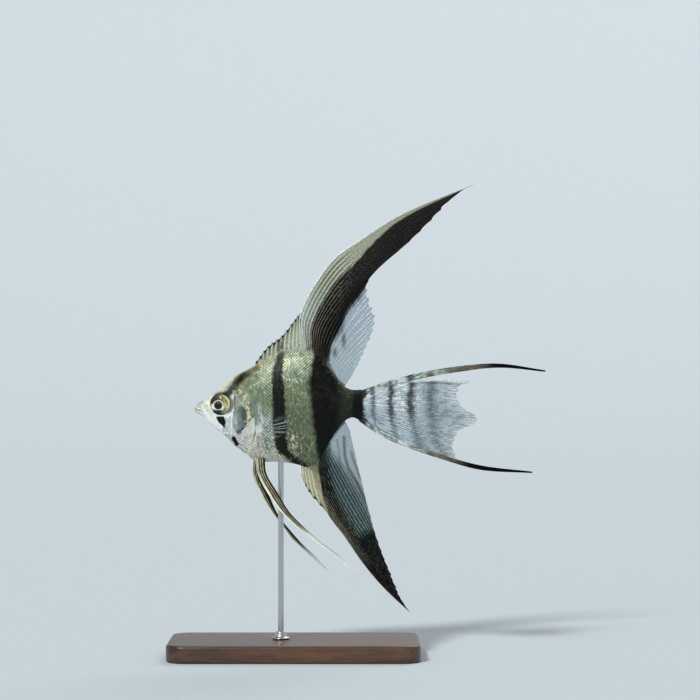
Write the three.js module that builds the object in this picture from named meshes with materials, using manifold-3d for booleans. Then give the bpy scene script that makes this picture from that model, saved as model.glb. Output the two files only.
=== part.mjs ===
// A freshwater angelfish (Pterophyllum scalare) as a life-size still model on a plain display stand.
// Millimetres, +Z up. The head points to -X and the fish's left side faces -Y.
// The fish is drawn in its own frame, x back from the snout and z up from the snout's level, and the
// whole is then set over the stand. The origin is the middle of the underside of the stand's base.
import * as THREE from 'three';
import { mergeVertices } from 'three/addons/utils/BufferGeometryUtils.js';
import Module from 'manifold-3d';

const wasm = await Module();
wasm.setup();

// ---- Driving dimensions -------------------------------------------------------------------------
const STANDARD_LENGTH = 76.5;      // snout to the root of the tail fin
const SNOUT_X = -46;               // where the snout stands over the base
const SNOUT_Z = 115;               // height of the snout above the floor
const GAP = 0.3;                   // parting cut between neighbouring pieces

const FIN_ROOT = 1.5;              // thickness of the middle fins where they leave the body
const FIN_EDGE = 0.6;              // thickness of every fin at its free edge
const PAIRED_FIN_ROOT = 0.9;       // thickness of the pectoral and pelvic fins at the root

// The eye's middle and size. It looks a little forwards and up, so its rim slopes with the cheek.
const EYE = {
  x: 12, z: 1.9, y: 4.9, wide: 4.5, tall: 4.9, bulge: 1.8, depth: 3.8, forwards: 0.17, up: 0.15,
};

const BASE = { length: 116, width: 60, height: 8, corner: 9, bevel: 1.2 };
const ROD = { x: 39.8, radius: 1.3, sunk: 5 };
const FERRULE = { radius: 4.2, rim: 1.2, height: 3.4, neck: 2.6 };

// ---- Curves -------------------------------------------------------------------------------------
// Smooth function through knots [place, value]: cubic pieces whose slope at a knot is that of the
// line joining the knots on either side of it.
function smooth(knots) {
  const last = knots.length - 1;
  const slopes = knots.map((knot, i) => {
    const before = knots[Math.max(i - 1, 0)];
    const after = knots[Math.min(i + 1, last)];
    return (after[1] - before[1]) / (after[0] - before[0]);
  });
  return (place) => {
    let i = 0;
    while (i < last - 1 && place > knots[i + 1][0]) i += 1;
    const step = knots[i + 1][0] - knots[i][0];
    const f = THREE.MathUtils.clamp((place - knots[i][0]) / step, 0, 1);
    const rise = knots[i + 1][1] - knots[i][1];
    const bend = f * (1 - f) * ((1 - f) * (slopes[i] * step - rise) - f * (slopes[i + 1] * step - rise));
    return knots[i][1] + rise * f + bend;
  };
}

// Point at fraction f along a smooth curve through evenly numbered points.
function along(points, f) {
  const last = points.length - 1;
  return points[0].map((_, axis) => smooth(points.map((p, i) => [i / last, p[axis]]))(f));
}

// ---- Body ---------------------------------------------------------------------------------------
const backline = smooth([
  [0, 0.7], [2.1, 2.6], [5.4, 5.1], [9.2, 7.4], [12.5, 10.1], [15.2, 12.5], [18.1, 14.7], [24, 17.8],
  [28.5, 20.3], [34.7, 23.6], [41.7, 25.9], [48.6, 26.9], [54.2, 25.9], [58.8, 23.2], [63, 18.1],
  [66.2, 13.4], [69.5, 10], [72.7, 8.7], [76.5, 8.7],
]);
const bellyline = smooth([
  [0, -1.7], [2.1, -3], [4.8, -5.2], [8.8, -9.2], [13.9, -12.9], [18.3, -17.3], [22.7, -20.7],
  [26.9, -23.9], [31.9, -24.9], [37, -25.1], [43.9, -25.8], [47.7, -26.8], [50.9, -27.9],
  [54.2, -27.2], [57.9, -23.6], [61.1, -18.1], [63.9, -13.4], [67.1, -8.8], [69.9, -5.7],
  [72.7, -4.5], [74.6, -4.9], [76.5, -5.8],
]);
const halfWidth = smooth([
  [0, 1.5], [2.5, 3], [6, 4.3], [11.6, 5.6], [18, 6.7], [25, 7.3], [31, 7.4], [40, 6.9], [50, 5.8],
  [60, 4.2], [68, 2.8], [73, 2.2], [76.5, 1.6],
]);
// How far the section is drawn out to a keel above and below: 1 is a plain ellipse.
const keel = smooth([[0, 0.9], [8, 1], [20, 1.12], [35, 1.28], [60, 1.28], [76.5, 1.05]]);

// Turns a grid of points, each ring closed on itself, into a solid with flat ends.
function loft(rings) {
  const count = rings[0].length;
  const positions = rings.flat(2);
  const index = [];
  for (let r = 0; r + 1 < rings.length; r += 1) {
    for (let k = 0; k < count; k += 1) {
      const a = r * count + k;
      const b = r * count + ((k + 1) % count);
      index.push(a, b, b + count, a, b + count, a + count);
    }
  }
  for (const [r, flip] of [[0, true], [rings.length - 1, false]]) {
    const centre = positions.length / 3;
    const ring = rings[r];
    positions.push(...[0, 1, 2].map((axis) => ring.reduce((sum, p) => sum + p[axis], 0) / count));
    for (let k = 0; k < count; k += 1) {
      const a = r * count + k;
      const b = r * count + ((k + 1) % count);
      index.push(...(flip ? [centre, b, a] : [centre, a, b]));
    }
  }
  const geometry = new THREE.BufferGeometry();
  geometry.setAttribute('position', new THREE.Float32BufferAttribute(positions, 3));
  geometry.setIndex(index);
  return geometry;
}

// A three.js geometry as a manifold solid, and back.
function solid(geometry) {
  const bare = geometry.clone();
  bare.deleteAttribute('normal');
  bare.deleteAttribute('uv');
  const merged = mergeVertices(bare, 1e-4);
  const mesh = new wasm.Mesh({
    numProp: 3,
    vertProperties: new Float32Array(merged.attributes.position.array),
    triVerts: new Uint32Array(merged.index.array),
  });
  return new wasm.Manifold(mesh);
}

function geometryOf(manifold) {
  const { vertProperties, triVerts } = manifold.getMesh();
  const geometry = new THREE.BufferGeometry();
  geometry.setAttribute('position', new THREE.BufferAttribute(vertProperties, 3));
  geometry.setIndex(new THREE.BufferAttribute(triVerts, 1));
  geometry.computeVertexNormals();
  return geometry;
}

const BODY_RINGS = 34;
const BODY_SIDES = 24;
const SNOUT_CROWDING = 0.09;       // how much closer together the rings lie towards the snout

// The whole body as one solid, its skin pushed outwards by grow.
function bodySolid(grow = 0) {
  const rings = [];
  for (let r = 0; r <= BODY_RINGS; r += 1) {
    const f = r / BODY_RINGS;
    const x = STANDARD_LENGTH * (f - SNOUT_CROWDING * Math.sin(Math.PI * f) * (1 - f));
    const middle = (backline(x) + bellyline(x)) / 2;
    const half = (backline(x) - bellyline(x)) / 2 + grow;
    const width = halfWidth(x) + grow;
    const ring = [];
    for (let k = 0; k < BODY_SIDES; k += 1) {
      const turn = (2 * Math.PI * k) / BODY_SIDES;
      const across = Math.cos(turn);
      const y = width * Math.sign(across) * Math.abs(across) ** keel(x);
      const endGrow = grow * (r === BODY_RINGS ? 1 : 0) - grow * (r === 0 ? 1 : 0);
      ring.push([x + endGrow, y, middle + half * Math.sin(turn)]);
    }
    rings.push(ring);
  }
  return solid(loft(rings));
}

// A flat outline of [x, z] points as a block reaching from y = near to y = far.
function block(outline, near, far) {
  const shape = new THREE.Shape(outline.map(([x, z]) => new THREE.Vector2(x, z)));
  const geometry = new THREE.ExtrudeGeometry(shape, { depth: far - near, bevelEnabled: false });
  geometry.rotateX(Math.PI / 2);
  geometry.translate(0, far, 0);
  return solid(geometry);
}

// The outline enlarged about its own middle, so that a cut made with it leaves the parting gap.
function enlarged(outline, factor) {
  const cx = outline.reduce((sum, p) => sum + p[0], 0) / outline.length;
  const cz = outline.reduce((sum, p) => sum + p[1], 0) / outline.length;
  return outline.map(([x, z]) => [cx + (x - cx) * factor, cz + (z - cz) * factor]);
}

const FAR = 40;                    // beyond the body's sides
const CUT_MARGIN = 1.06;           // how much larger a cut is than the piece that it makes room for
// Where the head ends: down the nape, round the back of the gill cover and in to the throat.
const HEAD_END = [
  [20.5, 30], [21, 15], [22.3, 9.6], [25.6, 5.2], [27.4, -0.5], [28.3, -5.8], [27.9, -11.1],
  [26.6, -16.2], [24.2, -20.4], [22.5, -30],
];
// Edge of the loose gill cover, from its upper front corner round the back to the throat.
const GILL_COVER = [
  [18.2, 8.4], [21.8, 8.9], [25.2, 5], [27, -0.6], [27.9, -5.8], [27.5, -11], [26.2, -16],
  [23.4, -18.4], [19.4, -14.2], [17.2, -9], [16.6, -1.8],
];
const GILL_COVER_INNER = 3.4;      // the gill cover's inner face, from the middle plane
const STALK_X = 68;                // front of the tail stalk
const LOWER_JAW = [[-2, -0.6], [1.4, -0.9], [4.8, -2.5], [7, -5.4], [7.4, -12], [-2, -12]];

function eyeGeometry(side, grow = 0) {
  const geometry = new THREE.SphereGeometry(1, 18, 10);
  geometry.rotateX(Math.PI / 2);
  const position = geometry.attributes.position;
  for (let i = 0; i < position.count; i += 1) {
    const out = position.getY(i);
    const reach = (out > 0 ? EYE.bulge : EYE.depth) + grow;
    const dx = position.getX(i) * (EYE.wide + grow);
    const dz = position.getZ(i) * (EYE.tall + grow);
    const tilt = EYE.forwards * dx - EYE.up * dz;
    position.setXYZ(i, EYE.x + dx, EYE.y + out * reach + tilt, EYE.z + dz);
  }
  if (side < 0) {
    geometry.scale(1, -1, 1);
    const index = geometry.index.array;
    for (let i = 0; i < index.length; i += 3) [index[i], index[i + 1]] = [index[i + 1], index[i]];
  }
  return geometry;
}

// ---- Fins ---------------------------------------------------------------------------------------
// Closes a sheet of points into a thin solid: rows of [x, y, z, half thickness] make two faces half a
// thickness either side of the sheet, joined round the edge.
function sheetSolid(rows) {
  const rowCount = rows.length;
  const size = rows[0].length;
  const positions = [];
  for (const face of [-1, 1]) {
    for (const [x, y, z, half] of rows.flat()) positions.push(x, y + face * half, z);
  }
  const other = rowCount * size;
  const index = [];
  const quad = (a, b, c, d) => index.push(a, b, c, a, c, d);
  for (let i = 0; i + 1 < rowCount; i += 1) {
    for (let j = 0; j + 1 < size; j += 1) {
      const a = i * size + j;
      quad(a, a + size, a + size + 1, a + 1);
      quad(other + a, other + a + 1, other + a + size + 1, other + a + size);
    }
    const rootEdge = i * size;
    const tipEdge = rootEdge + size - 1;
    quad(rootEdge, other + rootEdge, other + rootEdge + size, rootEdge + size);
    quad(tipEdge, tipEdge + size, other + tipEdge + size, other + tipEdge);
  }
  for (let j = 0; j + 1 < size; j += 1) {
    const lastRow = (rowCount - 1) * size + j;
    quad(j, j + 1, other + j + 1, other + j);
    quad(lastRow, other + lastRow, other + lastRow + 1, lastRow + 1);
  }
  const geometry = new THREE.BufferGeometry();
  geometry.setAttribute('position', new THREE.Float32BufferAttribute(positions, 3));
  geometry.setIndex(index);
  return solid(geometry);
}

// A fin is a thin solid round a sheet. The sheet is drawn by guide rays, from the front ray to the
// last, each a list of [x, z] from root to tip. swing gives y from the place across and along the
// fin, and notch shortens the rays between the spines.
function finSolid({ rays, across, lengthwise, root = FIN_ROOT, edge = FIN_EDGE, swing, notch }) {
  const rows = [];
  for (let i = 0; i <= across; i += 1) {
    const s = i / across;
    const row = [];
    for (let j = 0; j <= lengthwise; j += 1) {
      const reach = (j / lengthwise) * (notch ? notch(s) : 1);
      const [x, z] = along(rays.map((ray) => along(ray, reach)), s);
      const y = swing ? swing(s, reach) : 0;
      const thickness = root + (edge - root) * Math.min(reach * 1.6, 1);
      row.push([x, y, z, thickness / 2]);
    }
    rows.push(row);
  }
  const fin = sheetSolid(rows);
  return fin.volume() > 0 ? fin : sheetSolid(rows.reverse());
}

// The membrane between two of count spines hangs back by depth.
const notched = (count, depth) => (s) => 1 - depth * (1 - Math.abs(Math.cos(Math.PI * count * s)));

const DORSAL_SPINES = [
  [[27.6, 18.5], [27.9, 20], [28.1, 21.4]],
  [[33.4, 22], [33.6, 25.4], [33.8, 28.8]],
  [[39.3, 24.4], [39.6, 29.2], [40.2, 33.6]],
  [[45.4, 25.6], [45.6, 33.2], [46.2, 41.2]],
  [[51.2, 25.6], [50, 35.4], [49.3, 45.2]],
];
const DORSAL_RAYS = [
  [[50.4, 25.6], [48.9, 44.4], [62.2, 67], [77.4, 78.7], [97, 90.4], [129.6, 103.7]],
  [[53.6, 24.6], [54, 38.5], [63.6, 56.9], [78, 72], [94, 85], [121, 98.6]],
  [[57, 22.6], [58, 36], [66.5, 50], [77, 61.3], [88.6, 70.6], [101.6, 79]],
  [[60.2, 19.6], [62.3, 29.5], [66.3, 38.5], [70.5, 46], [75.2, 52.8], [80.9, 59.4]],
  [[62.8, 16.2], [66, 22.5], [70, 28], [74.3, 33], [79, 37.8], [84, 42.5]],
  [[65.6, 11.8], [68.2, 15.6], [71, 18.7], [73.6, 21.6], [76.4, 24.4], [79.3, 27.1]],
  [[68.6, 8.6], [69.8, 10.8], [70.9, 12.4], [71.8, 13.7], [72.7, 15], [73.6, 16.3]],
];
const ANAL_SPINES = [
  [[46.6, -25], [47.4, -27], [48.2, -29]],
  [[50.6, -26], [51.6, -32.2], [52.8, -38.4]],
  [[54.6, -26], [57.4, -37.2], [60.6, -47.6]],
];
const ANAL_RAYS = [
  [[53, -26], [60.2, -46.5], [69.5, -60], [77.8, -72.2], [87.5, -83.6], [99.5, -94.5]],
  [[55.2, -25], [61.5, -41.5], [69, -54], [76.5, -66.5], [84.8, -77.5], [96.3, -89.6]],
  [[57.4, -22], [63.2, -35.5], [69, -46.5], [75.5, -57.5], [82, -67.5], [90.2, -79]],
  [[60.4, -17], [65.6, -27.5], [70.5, -36.5], [75, -45], [79.5, -54], [84, -62.5]],
  [[63, -12.4], [67, -19], [70.8, -25.5], [74, -31.8], [77.2, -38], [80.2, -45.5]],
  [[66, -8.2], [68.4, -11.8], [70.5, -15], [72.2, -18.4], [73.9, -22.2], [75.6, -26.5]],
  [[68.8, -4.6], [69.8, -6.6], [70.7, -8], [71.2, -9.2], [71.7, -10.5], [72.3, -12]],
];
const TAIL_RAYS = [
  [[76.9, 6.3], [89.4, 10.2], [101, 12.9], [115, 13.6], [129.6, 12.4]],
  [[76.9, 4.4], [87, 7.2], [98, 9.6], [110, 10.2], [122.6, 9]],
  [[76.9, 2.4], [88, 3.6], [99.5, 4], [111.5, 3.2], [123.8, 1.4]],
  [[76.9, 0.6], [90, -0.4], [104, -2], [118, -4], [132, -5.6]],
  [[76.9, -1.2], [88, -4], [100, -7], [111, -9.4], [122.5, -11.5]],
  [[76.9, -2.6], [87.5, -7.5], [98.5, -12], [109.5, -15.6], [120.6, -18]],
  [[76.9, -3.9], [87, -10.6], [98, -15.9], [110, -20], [122, -23.5]],
];
const TAIL_UPPER = [
  [[76.9, 8.4], [89.4, 12.5], [104, 16.4], [121.8, 19.4], [141, 20.6], [162.4, 17.5]],
  [[76.9, 6.4], [89.6, 10.2], [104, 13.5], [121.8, 16.7], [141, 18.7], [162.2, 16.8]],
];
const TAIL_LOWER = [
  [[76.9, -4.3], [87, -10.7], [98.8, -16], [115, -21.7], [133, -26.6], [156.2, -29.4]],
  [[76.9, -6.7], [86.3, -13], [98.3, -18.2], [115, -23.9], [133, -28.7], [156.2, -30.1]],
];
const PECTORAL_RAYS = [
  [[29.2, -8], [35.4, -5.7], [42.3, -2.6]],
  [[29.4, -8.9], [36.4, -7.1], [44.8, -4.8]],
  [[29.4, -9.8], [36.8, -9.2], [45.3, -8]],
  [[29.3, -10.7], [36.2, -11.1], [43, -11.4]],
  [[29, -11.6], [33.8, -13.2], [38.5, -14.8]],
];
// The pelvic fins trail below as streamers, each with a shorter hind edge; the left one is held a
// little farther back.
const PELVIC_LEFT = [
  [[27.9, -22.6], [29.3, -30.3], [33.6, -38.6], [41, -48.6], [54.2, -60], [75.4, -75.9]],
  [[30.2, -22.8], [31.3, -30.4], [35.9, -38.5], [42.8, -48.5], [54.9, -59.8], [71, -72.2]],
  [[32.4, -23], [33.4, -30.4], [38.2, -38.4], [44.6, -48.4], [55.6, -59.6], [66, -67.8]],
];
const PELVIC_RIGHT = [
  [[27.2, -22.4], [26.7, -31], [30, -40], [36.2, -50], [46, -62.4], [62.7, -77.4]],
  [[28.9, -22.6], [28.4, -31.1], [31.9, -39.9], [37.3, -50], [46.7, -62.4], [59, -74]],
  [[30.6, -22.8], [30, -31.2], [33.8, -39.8], [38.4, -50], [47.4, -62.3], [55, -69.9]],
];
const PELVIC_ROOT = 1.6;           // a pelvic streamer's thickness at its root
const PELVIC_TIP = 0.7;            // and at its tip

function dorsalFin(body) {
  const spines = finSolid({ rays: DORSAL_SPINES, across: 36, lengthwise: 2, notch: notched(12, 0.13) });
  return spines.add(finSolid({ rays: DORSAL_RAYS, across: 12, lengthwise: 14 })).subtract(body);
}

function analFin(body) {
  const spines = finSolid({ rays: ANAL_SPINES, across: 18, lengthwise: 2, notch: notched(6, 0.1) });
  return spines.add(finSolid({ rays: ANAL_RAYS, across: 12, lengthwise: 14 })).subtract(body);
}

function tailStreamer(rays) {
  return finSolid({ rays, across: 2, lengthwise: 16 });
}

// The web of the tail fin stops short of the two streamers that edge it. The cut can leave a sliver
// beyond a streamer, so only the largest body is kept.
function tailFin(body, upper, lower) {
  const web = finSolid({ rays: TAIL_RAYS, across: 14, lengthwise: 8 }).subtract(body);
  const cut = web
    .subtract(upper).subtract(upper.translate([0, 0, -GAP]))
    .subtract(lower).subtract(lower.translate([0, 0, GAP]));
  return cut.decompose().sort((a, b) => b.volume() - a.volume())[0];
}

function pectoralFin(side, body) {
  const swing = (s, t) => side * (5.8 + 7.6 * t - 1.2 * Math.sin(Math.PI * s) * t);
  const fin = finSolid({ rays: PECTORAL_RAYS, across: 8, lengthwise: 4, root: PAIRED_FIN_ROOT, swing });
  return fin.subtract(body);
}

function pelvicFin(side, rays, body) {
  const swing = (s, t) => side * (1.9 + 8.5 * t * (1.5 - 0.5 * t) + 0.4 * s);
  const fin = finSolid({ rays, across: 3, lengthwise: 14, root: PELVIC_ROOT, edge: PELVIC_TIP, swing });
  return fin.subtract(body);
}

// ---- Stand --------------------------------------------------------------------------------------
function standBase() {
  const w = BASE.length / 2 - BASE.bevel;
  const d = BASE.width / 2 - BASE.bevel;
  const r = BASE.corner - BASE.bevel;
  const shape = new THREE.Shape();
  shape.moveTo(-w + r, -d);
  shape.lineTo(w - r, -d).absarc(w - r, -d + r, r, -Math.PI / 2, 0);
  shape.lineTo(w, d - r).absarc(w - r, d - r, r, 0, Math.PI / 2);
  shape.lineTo(-w + r, d).absarc(-w + r, d - r, r, Math.PI / 2, Math.PI);
  shape.lineTo(-w, -d + r).absarc(-w + r, -d + r, r, Math.PI, 1.5 * Math.PI);
  const geometry = new THREE.ExtrudeGeometry(shape, {
    depth: BASE.height - 2 * BASE.bevel,
    bevelThickness: BASE.bevel,
    bevelSize: BASE.bevel,
    bevelSegments: 1,
    curveSegments: 5,
  });
  geometry.translate(0, 0, BASE.bevel);
  return geometry;
}

function rodSolid(bottom, top, radius) {
  const geometry = new THREE.CylinderGeometry(radius, radius, top - bottom, 20);
  geometry.rotateX(Math.PI / 2);
  geometry.translate(ROD.x, 0, (top + bottom) / 2);
  return solid(geometry);
}

function standFerrule(bottom) {
  const inner = ROD.radius + GAP;
  const profile = [
    [inner, 0], [FERRULE.radius, 0], [FERRULE.radius, FERRULE.rim], [FERRULE.neck, FERRULE.height],
    [inner, FERRULE.height], [inner, 0],
  ];
  const geometry = new THREE.LatheGeometry(profile.map(([r, h]) => new THREE.Vector2(r, h)), 20);
  geometry.rotateX(Math.PI / 2);
  geometry.translate(ROD.x, 0, bottom);
  return geometry;
}

// ---- Assembly -----------------------------------------------------------------------------------
const skin = new THREE.MeshStandardMaterial({ color: 0x8aa184, roughness: 0.38, metalness: 0.15 });
const darkSkin = new THREE.MeshStandardMaterial({ color: 0x20292a, roughness: 0.4, metalness: 0.1 });
const membrane = new THREE.MeshStandardMaterial({ color: 0x67848c, roughness: 0.35, metalness: 0 });
const streamer = new THREE.MeshStandardMaterial({ color: 0x768366, roughness: 0.45, metalness: 0 });
const eyeMaterial = new THREE.MeshStandardMaterial({ color: 0x3c3a1c, roughness: 0.08, metalness: 0 });
const wood = new THREE.MeshStandardMaterial({ color: 0x4a3020, roughness: 0.5, metalness: 0 });
const steel = new THREE.MeshStandardMaterial({ color: 0xb8babc, roughness: 0.3, metalness: 1 });

function piece(name, shape, material) {
  const geometry = shape instanceof THREE.BufferGeometry ? shape : geometryOf(shape);
  const mesh = new THREE.Mesh(geometry, material);
  mesh.name = name;
  return mesh;
}

const body = bodySolid();
const grown = bodySolid(GAP);

const beforeHeadEnd = block([...HEAD_END, [-FAR, -30], [-FAR, 30]], -FAR, FAR);
const afterHeadEnd = block([...HEAD_END, [STALK_X - GAP, -30], [STALK_X - GAP, 35], [20.5, 35]]
  .map(([x, z], i) => [i < HEAD_END.length ? x + GAP : x, z]), -FAR, FAR);
const stalkRoom = block([[STALK_X, -30], [90, -30], [90, 30], [STALK_X, 30]], -FAR, FAR);

const floorLevel = -SNOUT_Z;
const baseTop = floorLevel + BASE.height;
const rodTop = bellyline(ROD.x) + ROD.sunk;
const rod = rodSolid(baseTop + GAP, rodTop, ROD.radius);
const rodHole = rodSolid(baseTop, rodTop + GAP, ROD.radius + GAP);

const fish = new THREE.Group();
fish.position.set(SNOUT_X, 0, SNOUT_Z);

const jawRoom = block(LOWER_JAW, -FAR, FAR);
const jawCut = block(enlarged(LOWER_JAW, CUT_MARGIN), -FAR, FAR);
let head = body.intersect(beforeHeadEnd).subtract(jawCut);
fish.add(piece('lower_jaw', body.intersect(jawRoom), skin));

for (const [side, word] of [[-1, 'left'], [1, 'right']]) {
  const inner = side < 0 ? [-FAR, -GILL_COVER_INNER] : [GILL_COVER_INNER, FAR];
  const cutInner = side < 0 ? [-FAR, -GILL_COVER_INNER + GAP] : [GILL_COVER_INNER - GAP, FAR];
  fish.add(piece(`gill_cover_${word}`, body.intersect(block(GILL_COVER, ...inner)), skin));
  head = head.subtract(block(enlarged(GILL_COVER, CUT_MARGIN), ...cutInner));
  head = head.subtract(solid(eyeGeometry(side, GAP)));
  fish.add(piece(`eye_${word}`, eyeGeometry(side), eyeMaterial));
  fish.add(piece(`pectoral_fin_${word}`, pectoralFin(side, grown), membrane));
}
fish.add(piece('pelvic_fin_left', pelvicFin(-1, PELVIC_LEFT, grown), streamer));
fish.add(piece('pelvic_fin_right', pelvicFin(1, PELVIC_RIGHT, grown), streamer));
fish.add(piece('head', head, skin));
fish.add(piece('trunk', body.intersect(afterHeadEnd).subtract(rodHole), skin));
fish.add(piece('tail_stalk', body.intersect(stalkRoom), darkSkin));
fish.add(piece('dorsal_fin', dorsalFin(grown), darkSkin));
fish.add(piece('anal_fin', analFin(grown), darkSkin));
const upperStreamer = tailStreamer(TAIL_UPPER);
const lowerStreamer = tailStreamer(TAIL_LOWER);
fish.add(piece('caudal_fin', tailFin(grown, upperStreamer, lowerStreamer), membrane));
fish.add(piece('caudal_streamer_upper', upperStreamer, darkSkin));
fish.add(piece('caudal_streamer_lower', lowerStreamer, darkSkin));
fish.add(piece('stand_rod', rod, steel));
fish.add(piece('stand_ferrule', standFerrule(baseTop + GAP), steel));

const model = new THREE.Group();
model.add(fish);
model.add(piece('stand_base', standBase(), wood));

export default model;
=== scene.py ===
"""A freshwater angelfish on a plain display stand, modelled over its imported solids."""

import bpy
import numpy as np
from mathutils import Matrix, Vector


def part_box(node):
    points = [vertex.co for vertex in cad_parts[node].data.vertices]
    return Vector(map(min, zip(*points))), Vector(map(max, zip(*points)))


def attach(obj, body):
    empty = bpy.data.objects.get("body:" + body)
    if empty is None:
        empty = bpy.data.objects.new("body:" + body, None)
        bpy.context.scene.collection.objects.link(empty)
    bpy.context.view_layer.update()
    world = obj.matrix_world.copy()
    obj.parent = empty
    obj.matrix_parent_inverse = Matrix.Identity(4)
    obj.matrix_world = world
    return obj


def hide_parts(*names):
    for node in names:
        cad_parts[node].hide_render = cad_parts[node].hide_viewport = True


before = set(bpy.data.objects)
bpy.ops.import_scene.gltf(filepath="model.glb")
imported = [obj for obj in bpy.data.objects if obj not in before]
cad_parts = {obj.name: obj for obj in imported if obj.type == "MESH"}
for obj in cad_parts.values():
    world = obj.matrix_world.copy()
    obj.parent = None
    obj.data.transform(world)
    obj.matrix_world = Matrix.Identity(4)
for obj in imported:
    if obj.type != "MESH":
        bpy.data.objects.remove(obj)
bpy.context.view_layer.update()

# ---- The view -----------------------------------------------------------------------------------
# The fish hangs level with its head to the left, seen square on from its left side. Its own sizes
# are in millimetres: x back from the snout, y out to its right and z up from the snout's level.
BODY_LENGTH = 76.5                      # snout to the root of the tail fin
EYE_X, EYE_Z = 12.1, 1.9                # middle of each eye
VIEW_X, VIEW_Z = 71.8, 26.9             # what the camera looks at
VIEW_WIDTH, VIEW_DISTANCE = 324.1, 1200.0       # how much it takes in, and from how far off

snout_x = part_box("head")[0].x
mm = (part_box("tail_stalk")[1].x - snout_x) / BODY_LENGTH
eye_low, eye_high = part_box("eye_left")
snout_z = (eye_low.z + eye_high.z) / 2 - EYE_Z * mm


def to_world(points):
    """Fish millimetres to metres: times the length of one, then moved to where the snout is."""
    return np.asarray(points, float) * mm + np.array([snout_x, 0.0, snout_z])


camera = bpy.data.objects.new("camera", bpy.data.cameras.new("camera"))
camera.data.lens = camera.data.sensor_width * VIEW_DISTANCE / VIEW_WIDTH
camera.location = to_world((VIEW_X, -VIEW_DISTANCE, VIEW_Z))
camera.rotation_euler = (np.pi / 2, 0, 0)
bpy.context.collection.objects.link(camera)
bpy.context.scene.camera = camera

# ---- The studio ---------------------------------------------------------------------------------
# A pale floor that rises as a wide shallow bowl far behind, so that no horizon shows, under a pale
# open sky. A soft light falls from high in front on the left, with a weaker and wider one from low
# beside it and another from high behind.
BOWL_FLAT, BOWL_REACH, BOWL_RISE = 2.0, 9.0, 0.055      # metres, metres, and metres per square metre
FLOOR_RINGS = (0.02, 0.7, 1.4)          # radii of the rings in the flat part
BOWL_ROWS, BOWL_SIDES = 24, 96
FLOOR_TINT = (0.57, 0.63, 0.66)
SKY_TINT = (0.93, 0.97, 1.0)
SKY_STRENGTH = 0.36


def nodes_of(name):
    """A new material with its node tree, the shader and the output left in it."""
    material = bpy.data.materials.new(name)
    material.use_nodes = True
    tree = material.node_tree
    return material, tree, tree.nodes["Principled BSDF"]


def set_values(node, **values):
    """Sets a node's sockets, named with underscores for spaces."""
    for key, value in values.items():
        node.inputs[key.replace("_", " ")].default_value = value


def add(tree, kind, **settings):
    """Adds a node and sets its own settings."""
    node = tree.nodes.new(kind)
    for key, value in settings.items():
        setattr(node, key, value)
    return node


def noise(tree, place=None, **values):
    """Soft noise read at a place, or at the mesh's own place where none is given."""
    node = add(tree, "ShaderNodeTexNoise")
    set_values(node, **values)
    if place is not None:
        tree.links.new(place, node.inputs["Vector"])
    return node.outputs["Fac"]


def ranged(tree, value, **values):
    """A value carried from one range to another, evenly."""
    node = add(tree, "ShaderNodeMapRange")
    set_values(node, **values)
    tree.links.new(value, node.inputs["Value"])
    return node.outputs["Result"]


def grid_faces(rows, columns, wrap=False):
    """Quads of a grid of points counted along its rows; wrap joins the last column to the first."""
    r = np.arange(rows - 1)[:, None] * columns
    c = np.arange(columns if wrap else columns - 1)[None, :]
    after = (c + 1) % columns
    return np.stack([r + c, r + columns + c, r + columns + after, r + after], -1).reshape(-1, 4)


floor_material, tree, shader = nodes_of("pale_floor")
floor_grain = noise(tree, Scale=6.0, Detail=4.0)
tree.links.new(ranged(tree, floor_grain, To_Min=0.86, To_Max=0.94), shader.inputs["Roughness"])
set_values(shader, Base_Color=(*FLOOR_TINT, 1.0), Specular_IOR_Level=0.0)

# The bowl is flat in the middle, and past that rises with the square of the distance.
profile_r = np.concatenate([FLOOR_RINGS, np.linspace(BOWL_FLAT, BOWL_REACH, BOWL_ROWS)])
profile_z = BOWL_RISE * np.maximum(profile_r - BOWL_FLAT, 0) ** 2
bearing = np.linspace(0, 2 * np.pi, BOWL_SIDES, endpoint=False)
bowl = np.stack(
    np.broadcast_arrays(
        profile_r[:, None] * np.cos(bearing),
        profile_r[:, None] * np.sin(bearing),
        profile_z[:, None],
    ),
    -1,
)
floor_mesh = bpy.data.meshes.new("floor")
bowl_faces = grid_faces(len(profile_r), BOWL_SIDES, wrap=True).tolist()
bowl_faces.append(list(range(BOWL_SIDES)))
floor_mesh.from_pydata(bowl.reshape(-1, 3).tolist(), [], bowl_faces)
floor_mesh.polygons.foreach_set("use_smooth", np.ones(len(floor_mesh.polygons), bool))
floor_mesh.materials.append(floor_material)
floor = bpy.data.objects.new("floor", floor_mesh)
bpy.context.collection.objects.link(floor)

world = bpy.data.worlds.new("sky")
world.use_nodes = True
set_values(world.node_tree.nodes["Background"], Color=(*SKY_TINT, 1.0), Strength=SKY_STRENGTH)
bpy.context.scene.world = world
bpy.context.scene.view_settings.view_transform = "Standard"


def lamp(name, way, spread, strength):
    """A far lamp whose light comes from a way, as wide across as its spread in degrees."""
    data = bpy.data.lights.new(name, "SUN")
    data.angle, data.energy = np.radians(spread), strength
    lamp_object = bpy.data.objects.new(name, data)
    lamp_object.rotation_euler = Vector(way).to_track_quat("Z", "Y").to_euler()
    bpy.context.collection.objects.link(lamp_object)


lamp("key", (-0.50, -0.85, 0.90), spread=9, strength=2.22)
lamp("fill", (-0.55, -0.85, 0.06), spread=50, strength=1.05)
lamp("rim", (0.35, 0.80, 0.80), spread=30, strength=0.8)

# ---- The skin -----------------------------------------------------------------------------------
# One moist skin over head, trunk and tail stalk, drawn as sections that narrow to a keel above and
# below. Mouth, nostrils, eye rims, cheek, gill cover and gill folds are raised and sunk in it.
COAT = 0.15                             # depth the scales take up over the skin
SNOUT_ROUND = 0.7                       # length over which the snout rounds off
TAIL_END = 77.6                         # the skin runs this far over the tail fin's root
TAIL_ROUND = 0.8


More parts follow.
